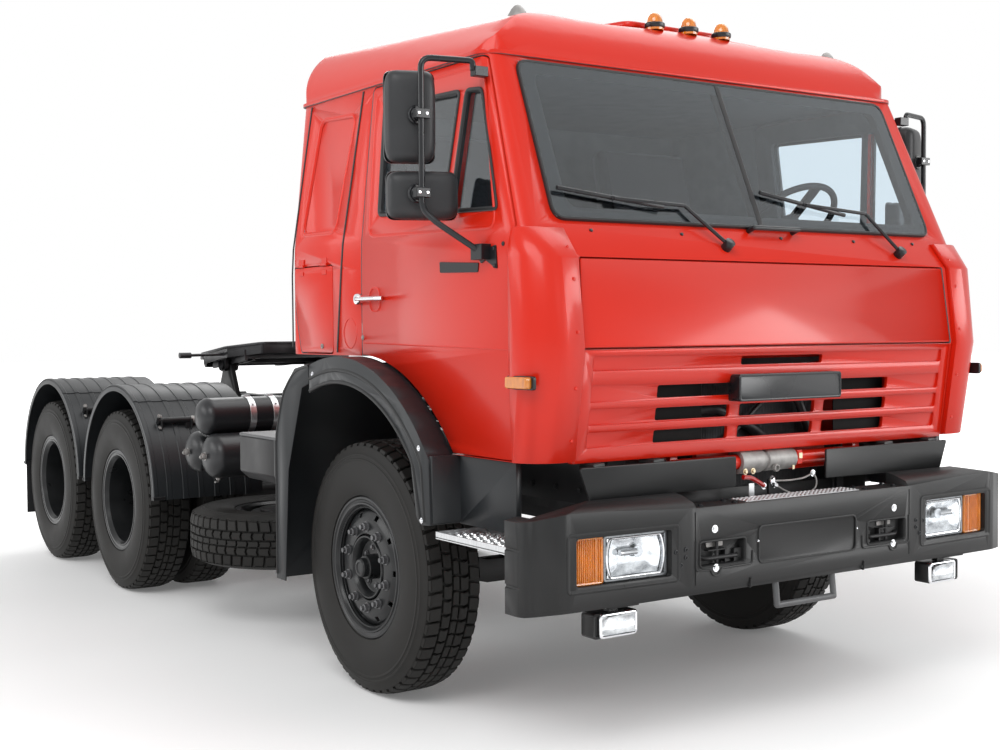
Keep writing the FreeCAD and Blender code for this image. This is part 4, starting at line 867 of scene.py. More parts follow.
def headlamps():
    """Reflector, bulb shield, clear cover and bright rim of each headlamp and fog lamp."""
    head = barrel_outline(HEAD_X, LAMP_Z, 106, 67, 15)
    cover = plate(offset(head, -3), lambda u, v, lift: lamp_face(u, v, lift + 1), 3)
    border = gasket(round_rect(HEAD_X, 137, LAMP_Z, 80, 12), lamp_face,
                    [(0, -26), (0, -2), (-3, 1), (-9, 1), (-13, -6), (-15, -24)])
    ring = gasket(head, lamp_face, [(8, -16), (5, 0), (1, 3), (-4, 1), (-6, -8)])
    dish = reflector_bowl(HEAD_X, LAMP_Z, 121, 67, -1336, -1319)
    wing = [moved(turned(block(-34, 34, -1.5, 1.5, -58, 58), tilt, "Z"), x, -1328, LAMP_Z)
            for x, tilt in ((718, 14), (896, -16))]
    shield = [tube([(800, -1334, 730), (872, -1334, 730)], 11, sides=14),
              lathe([(-4, 21), (2, 21), (4, 14), (4, 1), (-4, 1)], (792, -1332, 728), "Y", 28)]
    fog_place = facing_front(FOG_FRONT)
    fog = round_rect(FOG_X, 82, FOG_Z, 43, 18)
    fog_rim = gasket(fog, fog_place, [(0, -4), (1, 5), (-2, 9), (-7, 10), (-10, 6), (-11, 0)])
    fog_cover = plate(offset(fog, -8), fog_place, 7)
    fog_dish = reflector_bowl(FOG_X, FOG_Z, 73, 34, -1308, -1301)
    piece("lamp_reflectors", both(dish, fog_dish, *wing), GLINT_REFLECTOR, "chassis", ("lamp_lenses",), smooth=20)
    piece("lamp_shields", both(*shield), STEEL)
    piece("lamp_covers", both(cover, fog_cover), CLEAR, bevel=1)
    piece("lamp_rings", both(ring, fog_rim), CHROME, smooth=50)
    piece("lamp_frames", both(border), BEZEL)


def turn_lamp_face(u, v, lift):
    """Point on the front plane of an amber lamp, which is swept back outwards."""
    return (u, -1338 + (abs(u) - 948) * 0.066 - lift, v)


def turn_lamp_ribs():
    """Vertical flutes and the bevelled rim of the amber lamps."""
    ribs = []
    for i in range(14):
        x = 956 + 7.6 * i
        rib = block(x - 1.5, x + 1.5, -3.2, 2, LAMP_Z - 73, LAMP_Z + 73)
        ribs.append(moved(rib, dy=turn_lamp_face(x, 0, 0)[1]))
    rim = gasket(round_rect(TURN_X, 60.5, LAMP_Z, 80, 9), turn_lamp_face,
                 [(0, -12), (0.5, 3), (-3, 5), (-7, 4), (-9, 0)])
    divider = block(975, 981, -4.5, 2, LAMP_Z - 76, LAMP_Z + 76)
    divider = moved(divider, dy=turn_lamp_face(978, 0, 0)[1])
    piece("turn_lamp_ribs", both(*ribs, divider), AMBER, bevel=0.8)
    piece("turn_lamp_rims", both(rim), AMBER)


def bumper_details():
    """Seams, pressed beads, bolts, towing eyes and the tread on the low middle part."""
    seams = [block(x - 2, x + 2, BUMPER_FRONT - 0.6, BUMPER_FRONT + 4, 590, 848) for x in (-565, 565)]
    piece("bumper_seams", merge(*seams), SEAM_AND_SHADE_BLACK)
    plate_bead = gasket(round_rect(0, 257, 705, 67, 24), on_bumper, BEAD)
    tow_bead = tube([on_bumper(x, z, 0) for x, z in TOW_BEAD], 4.5, 14, 8)
    tow_lip = gasket(round_rect(433, 110, 695, 45, 14), on_bumper,
                     [(5, -1), (3, 2.6), (-1, 3), (-4, 0), (-6, -8)])
    outline = round_outline([(640, 616), (1104, 616), (1104, 810), (640, 810)], 16)
    lamp_bead = gasket(outline, on_bumper, [(6, -0.5), (3, 2.5), (-2, 3), (-6, 1), (-9, -0.5)])
    piece("bumper_beads", merge(plate_bead, both(tow_bead, tow_lip, lamp_bead)), PLASTIC)
    ledge = []
    for x0, x1 in ((652, 876), (876, 1095)):
        verts = [on_bumper(x, z, lift) for x in (x0, x1) for z, lift in ((633, -3), (617, 5), (610, -2))]
        ledge.append((verts, [(0, 1, 4, 3), (1, 2, 5, 4), (2, 0, 3, 5), (0, 2, 1), (3, 4, 5)]))
    piece("lamp_ledges", both(*ledge), PLASTIC, bevel=1.5)
    bolts = [hex_bolt(on_bumper(x, z, 0), (0, -1, 0), 9, 7, 1.6) for x, z in ((474, 782), (469, 643))]
    bolts.append(hex_bolt(on_bumper(261, 720, 0), (0, -1, 0), 3, 4))
    piece("bumper_bolts", both(*bolts), CHROME)
    screws = [lathe([(2, 9), (-2.5, 8), (-3, 5), (0, 4), (0, 0.5)], on_bumper(x, z, 0), "Y", 16, closed=False)
              for x, z in ((608, 721), (608, 693), (652, 716), (630, 668))]
    piece("bumper_screws", both(*screws), SHINY)
    ends = [tube([(x, -1362, 560), (x, -1376, 556), (x, -1378, 590)], 4, 10) for x in (-300, 300)]
    piece("bumper_clips", merge(*ends), FRAME)
    eye = [tube([(352, -1343, 682), (352, -1358, 676), (500, -1358, 676), (520, -1343, 682)], 8, 12, 10),
           block(404, 492, -1362, -1341, 702, 706), block(404, 412, -1362, -1341, 656, 704),
           tube([(448, -1356, 655), (448, -1356, 735)], 7)]
    piece("tow_eyes", both(*eye), FRAME, bevel=1)
    shelf = plate(round_rect(448, 40, 722, 9, 5), facing_front(-1342), 4)
    piece("tow_latches", both(shelf), ZINC, bevel=1)
    top = block(-300, 300, -1352, -1262, 862.2, 864.5)
    pips = [(x, y, 864) for x in range(-286, 287, 22) for y in (-1342, -1324, -1306, -1288, -1272)]
    teeth = [lathe([(0, 7), (3.2, 4.5), (3.2, 2.8), (0.5, 2.4)], p, "Z", 8, closed=False) for p in pips]
    piece("bumper_tread", merge(top, *teeth), STEEL, smooth=20)
    studs = [hex_bolt((x, y, 862), (0, 0, 1), 8, 7) for x in (345, 510) for y in (-1340, -1280)]
    piece("bumper_studs", both(*studs), SHINY)


def side_step_trays():
    """Pressed trays with a raised rim and open pips, on their carrier arms."""
    parts = []
    x0, x1, y0, y1 = 1012, 1238, -1188, -732
    parts.append(block(x0, x1, y0, y1, 742, 745))
    for a, b, c, d in ((x0, x0 + 3, y0, y1), (x1 - 3, x1, y0, y1)):
        parts.append(block(a, b, c, d, 738, 764))
    for c, d in ((y0, y0 + 3), (y1 - 3, y1)):
        parts.append(block(x0, x1, c, d, 738, 764))
    rim = round_outline([(x0, y0), (x1, y0), (x1, y1), (x0, y1)], 10)
    parts.append(gasket(rim, facing_up(763), [(0.5, -3), (0.5, 1), (-2, 2), (-5, 1), (-5, -3)]))
    for i in range(7):
        for j in range(13):
            spot = (x0 + 26 + i * 29 + (j % 2) * 10, y0 + 28 + j * 33.5, 745)
            parts.append(lathe([(-0.5, 11), (5, 8), (5, 5.5), (0.5, 5)], spot, "Z", 10, closed=False))
    piece("step_trays", both(*parts), STEEL, "chassis", ("side_steps",), smooth=25)
    arms = []
    for y in STEP_ARMS:
        arms.append(block(RAIL_OUT + 2, 1015, y - 20, y + 20, 741, 747))
        arms.append(block(RAIL_OUT + 2, 1015, y - 20, y - 15, 741, 762))
        arms.append(block(RAIL_OUT + 0.5, 470, y - 20, y + 20, 745, 900))
        for z in (790, 860):
            arms.append(hex_bolt((470, y, z), (1, 0, 0), 10, 8))
    piece("step_arms", both(*arms), FRAME, bevel=2)


headlamps()
turn_lamp_ribs()
bumper_details()
side_step_trays()


# Cab outside

def strip(y_of, heights, half, lift):
    """Flat rubber strip up the right side, at y = y_of(z)."""
    verts, faces = [], []
    for z in heights:
        y = y_of(z)
        for across, out in ((-half, 0), (-half * 0.8, lift), (half * 0.8, lift), (half, 0)):
            verts.append(right_side(y + across, z, out))
    for i in range(len(heights) - 1):
        for k in range(3):
            a = i * 4 + k
            faces.append((a, a + 1, a + 5, a + 4))
    return verts, faces


# outlines on the cab's side, as (y, z)
MAIN_WINDOW = [(-650, 1926), (-150, 1944), (-128, 2385), (-702, 2366)]
VENT_WINDOW = [(-1010, 1906), (-690, 1918), (-738, 2364), (-848, 2354)]
SLEEPER_RECESS = [(218, 1905), (529, 1910), (430, 2397), (118, 2383)]
HEIGHTS = (1400, 1425, 1735, 1850, 2100, 2300, 2470)


def door_details(side, s):
    """Window rubbers, pressed swage, handle, blank plate, mirror bracket and catch of one door."""
    body = "door_" + side
    rubber = []
    for outline, r in ((MAIN_WINDOW, 30), (VENT_WINDOW, 26)):
        line = round_outline(outline, r)
        rubber.append(gasket(line, right_side, [(3, -1), (3, 2.5), (-1, 5), (-8, 4), (-14, -3), (-15, -16)]))
    piece("door_window_rubber_" + side, sided(s, *rubber), SEAL, body)
    swage = gasket(round_outline([(-1000, 1846), (-80, 1868), (-55, 2440), (-842, 2436)], 50), right_side,
                   [(8, -0.5), (5, 1.6), (0, 2.6), (-5, 1.6), (-8, -0.5)])
    line = [(y, 1440 + 0.017 * (y + 30)) for y in (-1080, -700, -350, -45)]
    crease = tube([right_side(y, z, 0) for y, z in line], 2.4, sides=6)
    piece("door_swage_" + side, sided(s, swage, crease), RED, body)
    dish = gasket(round_rect(-135, 40, 1614, 46, 34), right_side,
                  [(4, -0.5), (2, 1.6), (-2, 1.2), (-8, -6), (-16, -14), (-34, -20)])
    piece("handle_dish_" + side, sided(s, dish), RED, body)
    lever = tube([right_side(-20, 1618, 14), right_side(-60, 1618, 22), right_side(-190, 1617, 22),
                  right_side(-214, 1617, 8)], 13, 18, 12, flat=0.75)
    foot = right_side(-12, 1618, 0)
    boss = lathe([(0, 25), (14, 24), (20, 20), (21, 9), (16, 8), (16, 0.5)], foot, "X", 28)
    boss = turned(boss, 180, "Z", foot)
    piece("door_handle_" + side, sided(s, lever, boss), CHROME, body, smooth=40)
    blank = plate(round_outline([(-895, 1694), (-640, 1701), (-638, 1741), (-900, 1727)], 6), right_side, 4)
    piece("blank_plate_" + side, sided(s, blank), SHINY, body, bevel=1)
    outline = [(-1010, 1785), (-940, 1772), (-905, 1790), (-862, 1795), (-918, 1722), (-945, 1735),
               (-1018, 1700)]
    bracket = plate(round_outline(outline, 8), right_side, 5)
    bolts = rivets([right_side(-1000, 1772, 5), right_side(-1006, 1712, 5), right_side(-962, 1745, 5),
                    right_side(-1052, 1786, 0)], (-1, 0, 0), 8, 6)
    piece("mirror_bracket_" + side, sided(s, bracket, bolts), SHINY, body, bevel=1)
    catch = merge(block(-1150, -1131, -31, -27, 1480, 1520),
                  hex_bolt(right_side(-34, 1462, 0), (-1, 0, 0), 7, 5))
    piece("door_catch_" + side, sided(s, catch), ZINC, body)


def mirror_cover(x, y, z, width, height):
    """Domed rear cover of a mirror, turned as its glass is."""
    rings = ((0, 34), (0, 2), (2, -8), (6, -17), (13, -25), (24, -31), (40, -34.5), (70, -36),
             (width / 2 - 1, -36.4))
    verts, faces = [], []
    steps = 96
    for inset, depth in rings:
        for i in range(steps):
            c, t = math.cos(2 * math.pi * i / steps), math.sin(2 * math.pi * i / steps)
            u, v = (math.copysign(abs(value) ** 0.32, value) for value in (c, t))
            verts.append((x + u * max(1, width / 2 - inset), y + depth, z + v * max(1, height / 2 - inset)))
    for row in range(len(rings) - 1):
        faces += crossed(ring_faces(row * steps, (row + 1) * steps, steps))
    faces.append(tuple(range((len(rings) - 1) * steps, len(rings) * steps)))
    return turned((verts, faces), MIRROR_TURN, "Z", (x, y, z))


def mirror_details(side, s):
    """Tube bracket with the covers, lips, clamps and glasses of both mirrors."""
    body = "door_" + side
    clamps, glasses, lips, covers = [], [], [], []
    for centre, width, height in MIRRORS:
        x, y, z = centre
        back = lambda u, v, lift: (x + u, y + 30 + lift, z + v)
        outline = round_rect(0, width / 2 - 8, 0, height / 2 - 8, 40)
        glass = plate(outline, lambda u, v, lift: (x + u, y + 35.5 + lift, z + v), 1.5)
        glasses.append(turned(glass, MIRROR_TURN, "Z", centre))
        lip = gasket(round_rect(0, width / 2, 0, height / 2, 30), back,
                     [(0.5, -6), (2, 0), (1, 7), (-4, 8), (-7, 6)])
        lips.append(turned(lip, MIRROR_TURN, "Z", centre))
        covers.append(mirror_cover(x, y, z, width, height))
        foot = (MIRROR_POST_X, y - 40, z)
        ball = lathe([(0, 34), (6, 34), (9, 30), (9, 22), (30, 20), (30, 1)], foot, "Y", 32)
        clamps.append(turned(ball, 180, "Z", foot))
        clamps.append(block(-1362, -1304, -832, -806, z - 17, z + 17))
    arm = tube([(-1150, -868, 2405), (-1150, -868, 2438), (MIRROR_POST_X, -818, 2440),
                (MIRROR_POST_X, -818, 1915), (-1300, -850, 1870), (-1175, -940, 1765), (-1153, -940, 1762)],
               11, 40, 14)
    feet = [block(-1150, -1095, -885, -850, 2385, 2420), block(-1190, -1148, -975, -905, 1735, 1790)]
    piece("mirror_glass_" + side, sided(s, *glasses), CHROME, body)
    piece("mirror_covers_" + side, sided(s, *covers), MIRROR_GREY, body, ("mirror_" + side,), smooth=50)
    piece("mirror_arm_" + side, sided(s, arm, *lips), SHINY, body)
    piece("mirror_clamps_" + side, sided(s, *clamps, *feet), SHINY, body, bevel=4)
    spots = [(MIRROR_POST_X + dx, -832, centre[2]) for centre, _, _ in MIRRORS for dx in (-16, 16)]
    screws = rivets(spots, (0, -1, 0), 6, 4)
    piece("mirror_screws_" + side, sided(s, screws), CHROME, body)


def cab_side_details():
    """Rubber strips, pressed swages, locker hinges and locks, and side repeater lamps."""
    mid = strip(lambda z: 190 - (z - 1400) * 0.125, HEIGHTS, 5.5, 4)
    heights = (1420, 1735, 1850, 2100, 2300, 2470)
    rear = strip(lambda z: 615 if z < 1771 else 615 - (z - 1771) * 0.12, heights, 5, 4)
    piece("side_rubbers", both(mid, rear), SEAL, "cab", bevel=1)
    recess = gasket(round_outline(SLEEPER_RECESS, 44), right_side,
                    [(12, -0.5), (8, 2.2), (2, 3), (-2, 1), (-8, -6)])
    piece("sleeper_swage", both(recess), RED, "cab")
    cover = [(75 + 58 * math.sin(a), 1479 + 62 * math.cos(a) * abs(math.cos(a)) ** 0.3) for a in
             (2 * math.pi * i / 40 for i in range(40))]
    cover = gasket(cover, right_side, [(2.5, -0.3), (1.5, 1.5), (-1.5, 1.5), (-2.5, -0.3)])
    piece("pillar_cover", both(cover), RED, "cab")
    hinges = []
    for y in LOCKER_HINGES:
        hinges.append(tube([right_side(y - 26, 1771, 3), right_side(y + 26, 1771, 3)], 6, sides=10))
        hinges.append(plate(round_rect(y, 24, 1786, 14, 4), right_side, 3))
    piece("locker_hinges", both(*hinges), RED, "cab", bevel=1)
    for side, s in SIDES:
        tabs = [plate(round_rect(y, 20, 1739, 9, 4), right_side, 3) for y in LOCKER_HINGES]
        lock = lathe([(0, 11), (4, 10), (4, 4), (1, 3)], right_side(330, 1425, 0), "X", 20, closed=False)
        lock = turned(lock, 180, "Z", right_side(330, 1425, 0))
        piece("locker_tabs_" + side, sided(s, *tabs), RED, "locker_lid_" + side, bevel=1)
        piece("locker_lock_" + side, sided(s, lock), ZINC, "locker_lid_" + side)
    shape = round_outline([(-1255, 1289), (-1100, 1289), (-1100, 1336), (-1255, 1336)], 10)
    lamp = plate(round_rect(-1182, 62, 1313, 20, 10), facing_right(-1166), 30)
    base = plate(shape, facing_right(-1158), 14)
    piece("repeater_lamps", both(lamp), AMBER, "cab", bevel=5, segments=3)
    piece("repeater_bases", both(base), SHINY, "cab", bevel=3)


def cab_front_details():
    """Deflector screws, cowl studs, windscreen rubber, border and panes, and the blank plate's edge."""
    marks = rivets([(-1000, cab_front(z) - 25, z) for z in (1110, 1290, 1480, 1660, 1770)], (0, -1, 0), 7, 4)
    piece("deflector_screws", both(marks), RED, "cab")
    row = cab_front(1836) - 1
    studs = rivets([(x, row, 1836) for x in (-840, -420, 90, 500, 860)], (0, -0.6, 0.6), 7, 6)
    piece("cowl_studs", studs, SHINY, "cab")
    outer = [(-992, 1868), (992, 1868), (972, 2464), (-972, 2464)]
    rubber = gasket(round_outline(outer, 55), on_front, [(0, -4), (0, 6), (-3, 12), (-9, 12), (-12, 9)])
    bar = gasket([(-13, 1880), (13, 1880), (13, 2453), (-13, 2453)], on_front,
                 [(0, 6), (0, 10), (-4, 12), (-12, 12)])
    piece("screen_rubber", merge(rubber, bar), SEAL, "cab")
    clear_part = round_outline([(-928, 1900), (928, 1900), (912, 2410), (-912, 2410)], 40)
    margins = (round_outline(offset(outer, -8), 48), clear_part)
    count = len(clear_part)
    points = [on_front(u, v, 7.4) for margin in margins for u, v in margin]
    piece("screen_border", (points, ring_faces(0, count, count)), SCREEN_EDGE, "cab")
    edge = offset(outer, -9)
    pane = [edge[0], (-9, edge[0][1]), (-9, edge[3][1]), edge[3]]
    glass = plate(round_outline(pane, 8), lambda u, v, lift: on_front(u, v, 7.8 + lift), 1.6)
    piece("screen_panes", both(glass), GLASS, "cab", ("windscreen_glass",))
    badge = gasket(round_rect(0, 266, 1271, 46, 12), facing_front(-1288),
                   [(3, -6), (3, 0), (1, 2), (-3, 2), (-6, 0)])
    piece("badge_edge", badge, SHINY, "cab")


def roof_details():
    """Beacons, corner lamps and the hatch's edge."""
    domes, rings, bases, clear = [], [], [], []
    dome = [(28, 33), (34, 33), (50, 29), (62, 22), (69, 13), (71, 1)]
    band_ring = [(9, 32), (9, 39), (13, 41), (25, 41), (29, 38), (29, 32)]
    for x in BEACONS_X:
        foot = (x, BEACON_Y, roof_z(x, BEACON_Y) - 6)
        domes.append(lathe(dome, foot, "Z", 32, closed=False))
        domes.append(lathe([(0, 32), (0, 36), (12, 36), (14, 32)], foot, "Z", 32))
        rings.append(lathe(band_ring, foot, "Z", 32))
    cap = [(2624, 46), (2646, 45), (2668, 38), (2690, 26), (2704, 13), (2708, 1)]
    lamp_x, lamp_y = CORNER_LAMP
    for x in (-lamp_x, lamp_x):
        clear.append(lathe(cap, (x, lamp_y, 0), "Z", 28, closed=False))
        bases.append(lathe([(2586, 52), (2628, 51), (2631, 43), (2590, 43)], (x, lamp_y, 0), "Z", 28))
    piece("roof_beacons", merge(*domes), AMBER, "cab", ("roof_lamps",), smooth=50)
    piece("beacon_bands", merge(*rings), SHINY, "cab", bevel=1.5)
    piece("roof_position_lamps", merge(*clear), ZINC, "cab", smooth=50)
    piece("roof_lamp_bases", merge(*bases), SHINY, "cab", bevel=3)
    hatch = round_rect(0, 262, -370, 270, 40)
    seal = gasket(hatch, on_roof, [(2, -4), (2, 9), (-1, 10), (-4, 8)])
    lip = gasket(hatch, on_roof, [(-2, 9), (7, 11), (9, 15), (9, 29), (5, 33), (-4, 34)])
    ribs = [tube([on_roof(x, -610, 32), on_roof(x, -370, 32), on_roof(x, -130, 32)], 7, sides=8, flat=0.5)
            for x in (-170, -57, 57, 170)]
    piece("hatch_seal", seal, SEAL, "cab")
    piece("hatch_lip", merge(lip, *ribs), RED, "cab", smooth=50)


for side, s in SIDES:
    door_details(side, s)
    mirror_details(side, s)
cab_side_details()
cab_front_details()
roof_details()


# Tanks, boxes and fenders

def tank(y, z, r):
    """Air tank across the frame, right side, with domed ends and weld beads."""
    dome = [(0, 1), (4, r * 0.45), (14, r * 0.72), (30, r * 0.9), (46, r * 0.985), (56, r)]
    length = TANK_OUT - TANK_IN
    profile = dome + [(63, r + 1.2), (70, r), (length - 70, r), (length - 63, r + 1.2)]
    profile += [(length - a, b) for a, b in reversed(dome)]
    return lathe(profile, (-TANK_OUT, y, z), "X", 64, closed=False)


def air_tanks():
    """Tanks, the two bright straps of the upper one, valves in the outer ends and a drain below."""
    piece("air_tanks_detail", merge(*[tank(*t) for t in TANKS]), TANK, "chassis", ("air_tanks",), smooth=40)
    y, z, r = TANKS[0]
    straps = []
    for x in (-920, -792):
        hoop = [(-17, r + 0.5), (-17, r + 3.5), (17, r + 3.5), (17, r + 0.5)]
        straps.append(lathe(hoop, (x, y, z), "X", 64))
        straps.append(block(x - 17, x + 17, y - 12, y + 26, z + r + 1, z + r + 9))
        straps.append(hex_bolt((x, y - r * 0.8, z + r * 0.63), (0, -0.8, 0.6), 8, 8))
    piece("tank_straps", merge(*straps), STEEL, bevel=1)
    ports = []
    for y, z, r in TANKS[1:]:
        ports.append(hex_bolt((-TANK_OUT + 3, y, z), (-1, 0, 0), 15, 12))
        ports.append(tube([(-TANK_OUT, y, z), (-TANK_OUT - 22, y, z)], 8))
        ports.append(tube([(-TANK_OUT - 16, y - 26, z + 4), (-TANK_OUT - 16, y + 12, z - 4)], 10, sides=12))
        ports.append(hex_bolt((-TANK_OUT - 16, y - 22, z + 4), (0, -1, 0), 12, 9))
    y, z, r = TANKS[1]
    ports += [hex_bolt((-1120, y, z - r + 2), (0, 0, -1), 11, 14),
              tube([(-1120, y, z - r - 8), (-1120, y - 4, z - r - 18), (-1142, y - 10, z - r - 20)], 5, 8, 8)]
    piece("tank_ports", merge(*ports), ZINC)
    top_y = TANKS[0][0]
    saddle = [block(-900, -RAIL_OUT - 2, top_y - 34, top_y + 34, 958, 966)]
    saddle += [block(-445, -RAIL_OUT - 1, y - 40, y + 40, 800, 1010) for y in (1560, 1800)]
    nest = [block(x - 26, x + 26, 1640, 1735, 880, 975) for x in (-1040, -780, -560)]
    piece("tank_brackets", merge(*saddle, *nest), FRAME, bevel=2)


def battery_box():
    """Case with a folded lid painted as the lit top of a dark box, its wear spots, a catch and the bracket
    below.
    """
    outline = round_outline([(-1196, 708), (-696, 708), (-696, 1138), (-1196, 1138)], 22)
    # the lid's light grey is painted light: it stands for the light on the top of the dark box
    lid = plate(outline, facing_up(996), 15)
    piece("battery_lid", lid, LID_GREY, bevel=6, segments=3)
    worn = ((-1040, 830, 42), (-960, 980, 30), (-1080, 900, 26), (-880, 860, 36))
    pads = [block(x, x + w, y, y + 26, 1010.6, 1013) for x, y, w in worn]
    catch = [block(-1110, -1066, 704, 710, 972, 996), hex_bolt((-1088, 704, 984), (0, -1, 0), 6, 6)]
    piece("battery_catch", merge(*pads, *catch), ZINC, bevel=1)
    seam = gasket(round_outline([(-1192, 830), (-1147, 788), (-698, 788), (-698, 1007), (-1192, 1007)], 12),
                  facing_rear(735), [(0.5, -5), (2.5, -4), (2.5, 4), (0.5, 5)])
    piece("battery_seam", seam, TANK)
    foot = [block(-1060, -1010, 900, 950, 640, 792),
            turned(block(-1010, -900, 880, 960, 690, 700), 24, "Y", (-955, 920, 695)),
            tube([(-1035, 925, 760), (-1035, 925, 640)], 16, sides=12)]
    piece("battery_foot", merge(*foot), FRAME, bevel=3)


def fuel_tank():
    """Two bright straps, the filler neck and its cap on the driver's side tank."""
    rings = []
    for y in (820, 1250, 1680):
        outline = offset(round_rect(895, 295, 720, 230, 70), 1.2)
        rings.append(gasket(outline, facing_rear(y), [(0, -22), (3, -22), (3, 22), (0, 22)]))
    piece("fuel_straps", merge(*rings), STEEL)
    cap = lathe([(0, 56), (26, 56), (34, 50), (36, 20), (36, 1)], FUEL_CAP, "Z", 36, closed=False)
    neck = lathe([(-10, 44), (8, 44), (8, 40), (-10, 40)], FUEL_CAP, "Z", 36)
    piece("fuel_cap", merge(cap, neck), SHINY)


def band(profile, axle_y, start, end, steps=72):
    """Closed profile of (x, height over the fender's radius), swept round the fender's centre."""
    verts, faces = [], []
    n = len(profile)
    for i in range(steps + 1):
        a = math.radians(start + (end - start) * i / steps)
        for x, lift in profile:
            r = FENDER_R + lift
            verts.append((x, axle_y - FENDER_AHEAD + r * math.sin(a), FENDER_Z + r * math.cos(a)))
    for i in range(steps):
        faces += ring_faces(i * n, (i + 1) * n, n)
    faces += [tuple(range(n)), tuple(range(steps * n, (steps + 1) * n))]
    return verts, faces


def fender(y):
    """Right fender: ribbed half ring with a turned-down rim, a raised top cover and rolled edges."""
    ribs = []
    for i in range(6):
        x = -BODY_HALF + (i + 1) * 90
        ribs += [(x - 15, -4), (x - 12, 0), (x + 12, 0), (x + 15, -4)]
    skin = [(-BODY_HALF, -32), (-BODY_HALF, -4), (4 - BODY_HALF, 0), (23 - BODY_HALF, 0)]
    skin.append((27 - BODY_HALF, -4))
    skin += ribs + [(-FENDER_IN, -4), (-FENDER_IN, -10), (6 - BODY_HALF, -10), (6 - BODY_HALF, -32)]
    body = band(skin, y, -FENDER_END, FENDER_END)
    cover = [(x, r + 3 if r > -5 else r) for x, r in skin[1:-4]]
    cover += [(-FENDER_IN, -1), (-FENDER_IN, -8), (-BODY_HALF, -8)]
    top = band(cover, y, -30, 30)
    out, back = -BODY_HALF - 1, -BODY_HALF + 7
    edge = band([(out, -34), (out, -24), (back, -24), (back, -34)], y, -FENDER_END, FENDER_END)
    return merge(body, top, edge)


def fenders():
    """Fenders, their tube stays with clamps, end brackets and mud flaps."""
    shells = both(*[fender(y) for y in REAR_AXLES])
    piece("fender_shells", shells, FENDER_GREY, "chassis", ("rear_fenders",), smooth=32)
    stays, brackets, clamps = [], [], []
    for y in REAR_AXLES:
        centre = y - FENDER_AHEAD
        for side in (-1, 1):
            spot_y = centre + side * STAY_REACH
            stays.append(tube([(-RAIL_OUT - 2, spot_y, STAY_Z), (-1168, spot_y, STAY_Z)], 18, sides=18))
            brackets.append(block(-446, -RAIL_OUT, spot_y - 45, spot_y + 45, 930, 1015))
            for x in (-1150, -980):
                brackets.append(block(x - 5, x + 5, spot_y - 26, spot_y + 26, STAY_Z - 46, STAY_Z + 8))
            brackets.append(block(-1012, -970, spot_y - 12, spot_y + 12, STAY_Z - 118, STAY_Z - 14))
            clamps += [lathe([(-15, 22), (15, 22), (15, 18), (-15, 18)], (x, spot_y, STAY_Z), "X", 24)
                       for x in (-700, -965)]
            clamps += [hex_bolt((-1158, spot_y, STAY_Z + dz), (0, side, 0), 8, 24) for dz in (26, -38)]
            clamps.append(hex_bolt((-990, spot_y + side * 12, STAY_Z - 70), (0, side, 0), 14, 9))
            foot_y = centre + side * (FENDER_R - 4)
            brackets.append(block(-1253, -1186, foot_y - 8, foot_y + 8, 586, 604))
    piece("fender_stays", both(*stays), FRAME)
    piece("fender_brackets", both(*brackets), FRAME, bevel=3)
    piece("fender_clamps", both(*clamps), ZINC)
    flap = merge(block(-1240, -630, 4690, 4698, 250, 600), block(-1240, -630, 4684, 4704, 584, 606))
    piece("mud_flaps", both(flap), SEAL, bevel=2)


air_tanks()
battery_box()
fuel_tank()
fenders()


# Frame, coupling and machinery

def spring_strap(x, half, y, low, high, radius, bend):
    """Bolt bent over a spring, open below."""
    return tube([(x - half, y, low), (x - half, y, high), (x + half, y, high), (x + half, y, low)], radius,
                bend, 8)


def frame_details():
    """Bolts along the rails, pipes with their clips, and the bolts that hold the springs."""
    spots = [(-RAIL_OUT, y, z) for y in range(-700, 4750, 165) for z in (838, 962)]
    bolts = [hex_bolt(spot, (-1, 0, 0), 10, 8) for spot in spots]
    piece("rail_bolts", both(*bolts), FRAME)
    lines = []
    for x, z in ((-340, 905), (-328, 930), (-340, 955)):
        path = [(x, 1100, z), (x, 2000, z), (x, 2600, z + 8), (x, 3000, z), (x, 4740, z)]
        lines.append(tube(path, 7, 40, 8))
    for x, z in ((-372, 1052), (-340, 1064), (-308, 1076)):
        path = [(x, 900, z), (x, 1500, z + 14), (x, 2150, z), (x, 2620, z - 8), (x, 2760, z - 40)]
        lines.append(tube(path, 13, 60, 10))
    piece("air_pipes", both(*lines), HOSE)
    clips = [block(-392, -290, y - 12, y + 12, 985, 1050) for y in (960, 1500, 2100, 2560)]
    piece("pipe_clips", both(*clips), FRAME, bevel=2)
    straps = []
    mid = sum(REAR_AXLES) / 2
    for s in (-1, 1):
        for y in (-45, 45):
            straps.append(spring_strap(s * FRONT_SPRING_X, 47, y, 480, 605, 8, 14))
        for y in (mid - 60, mid + 60):
            straps.append(spring_strap(s * REAR_SPRING_X, 52, y, 690, 832, 10, 16))
    piece("spring_bolts", merge(*straps), ZINC)


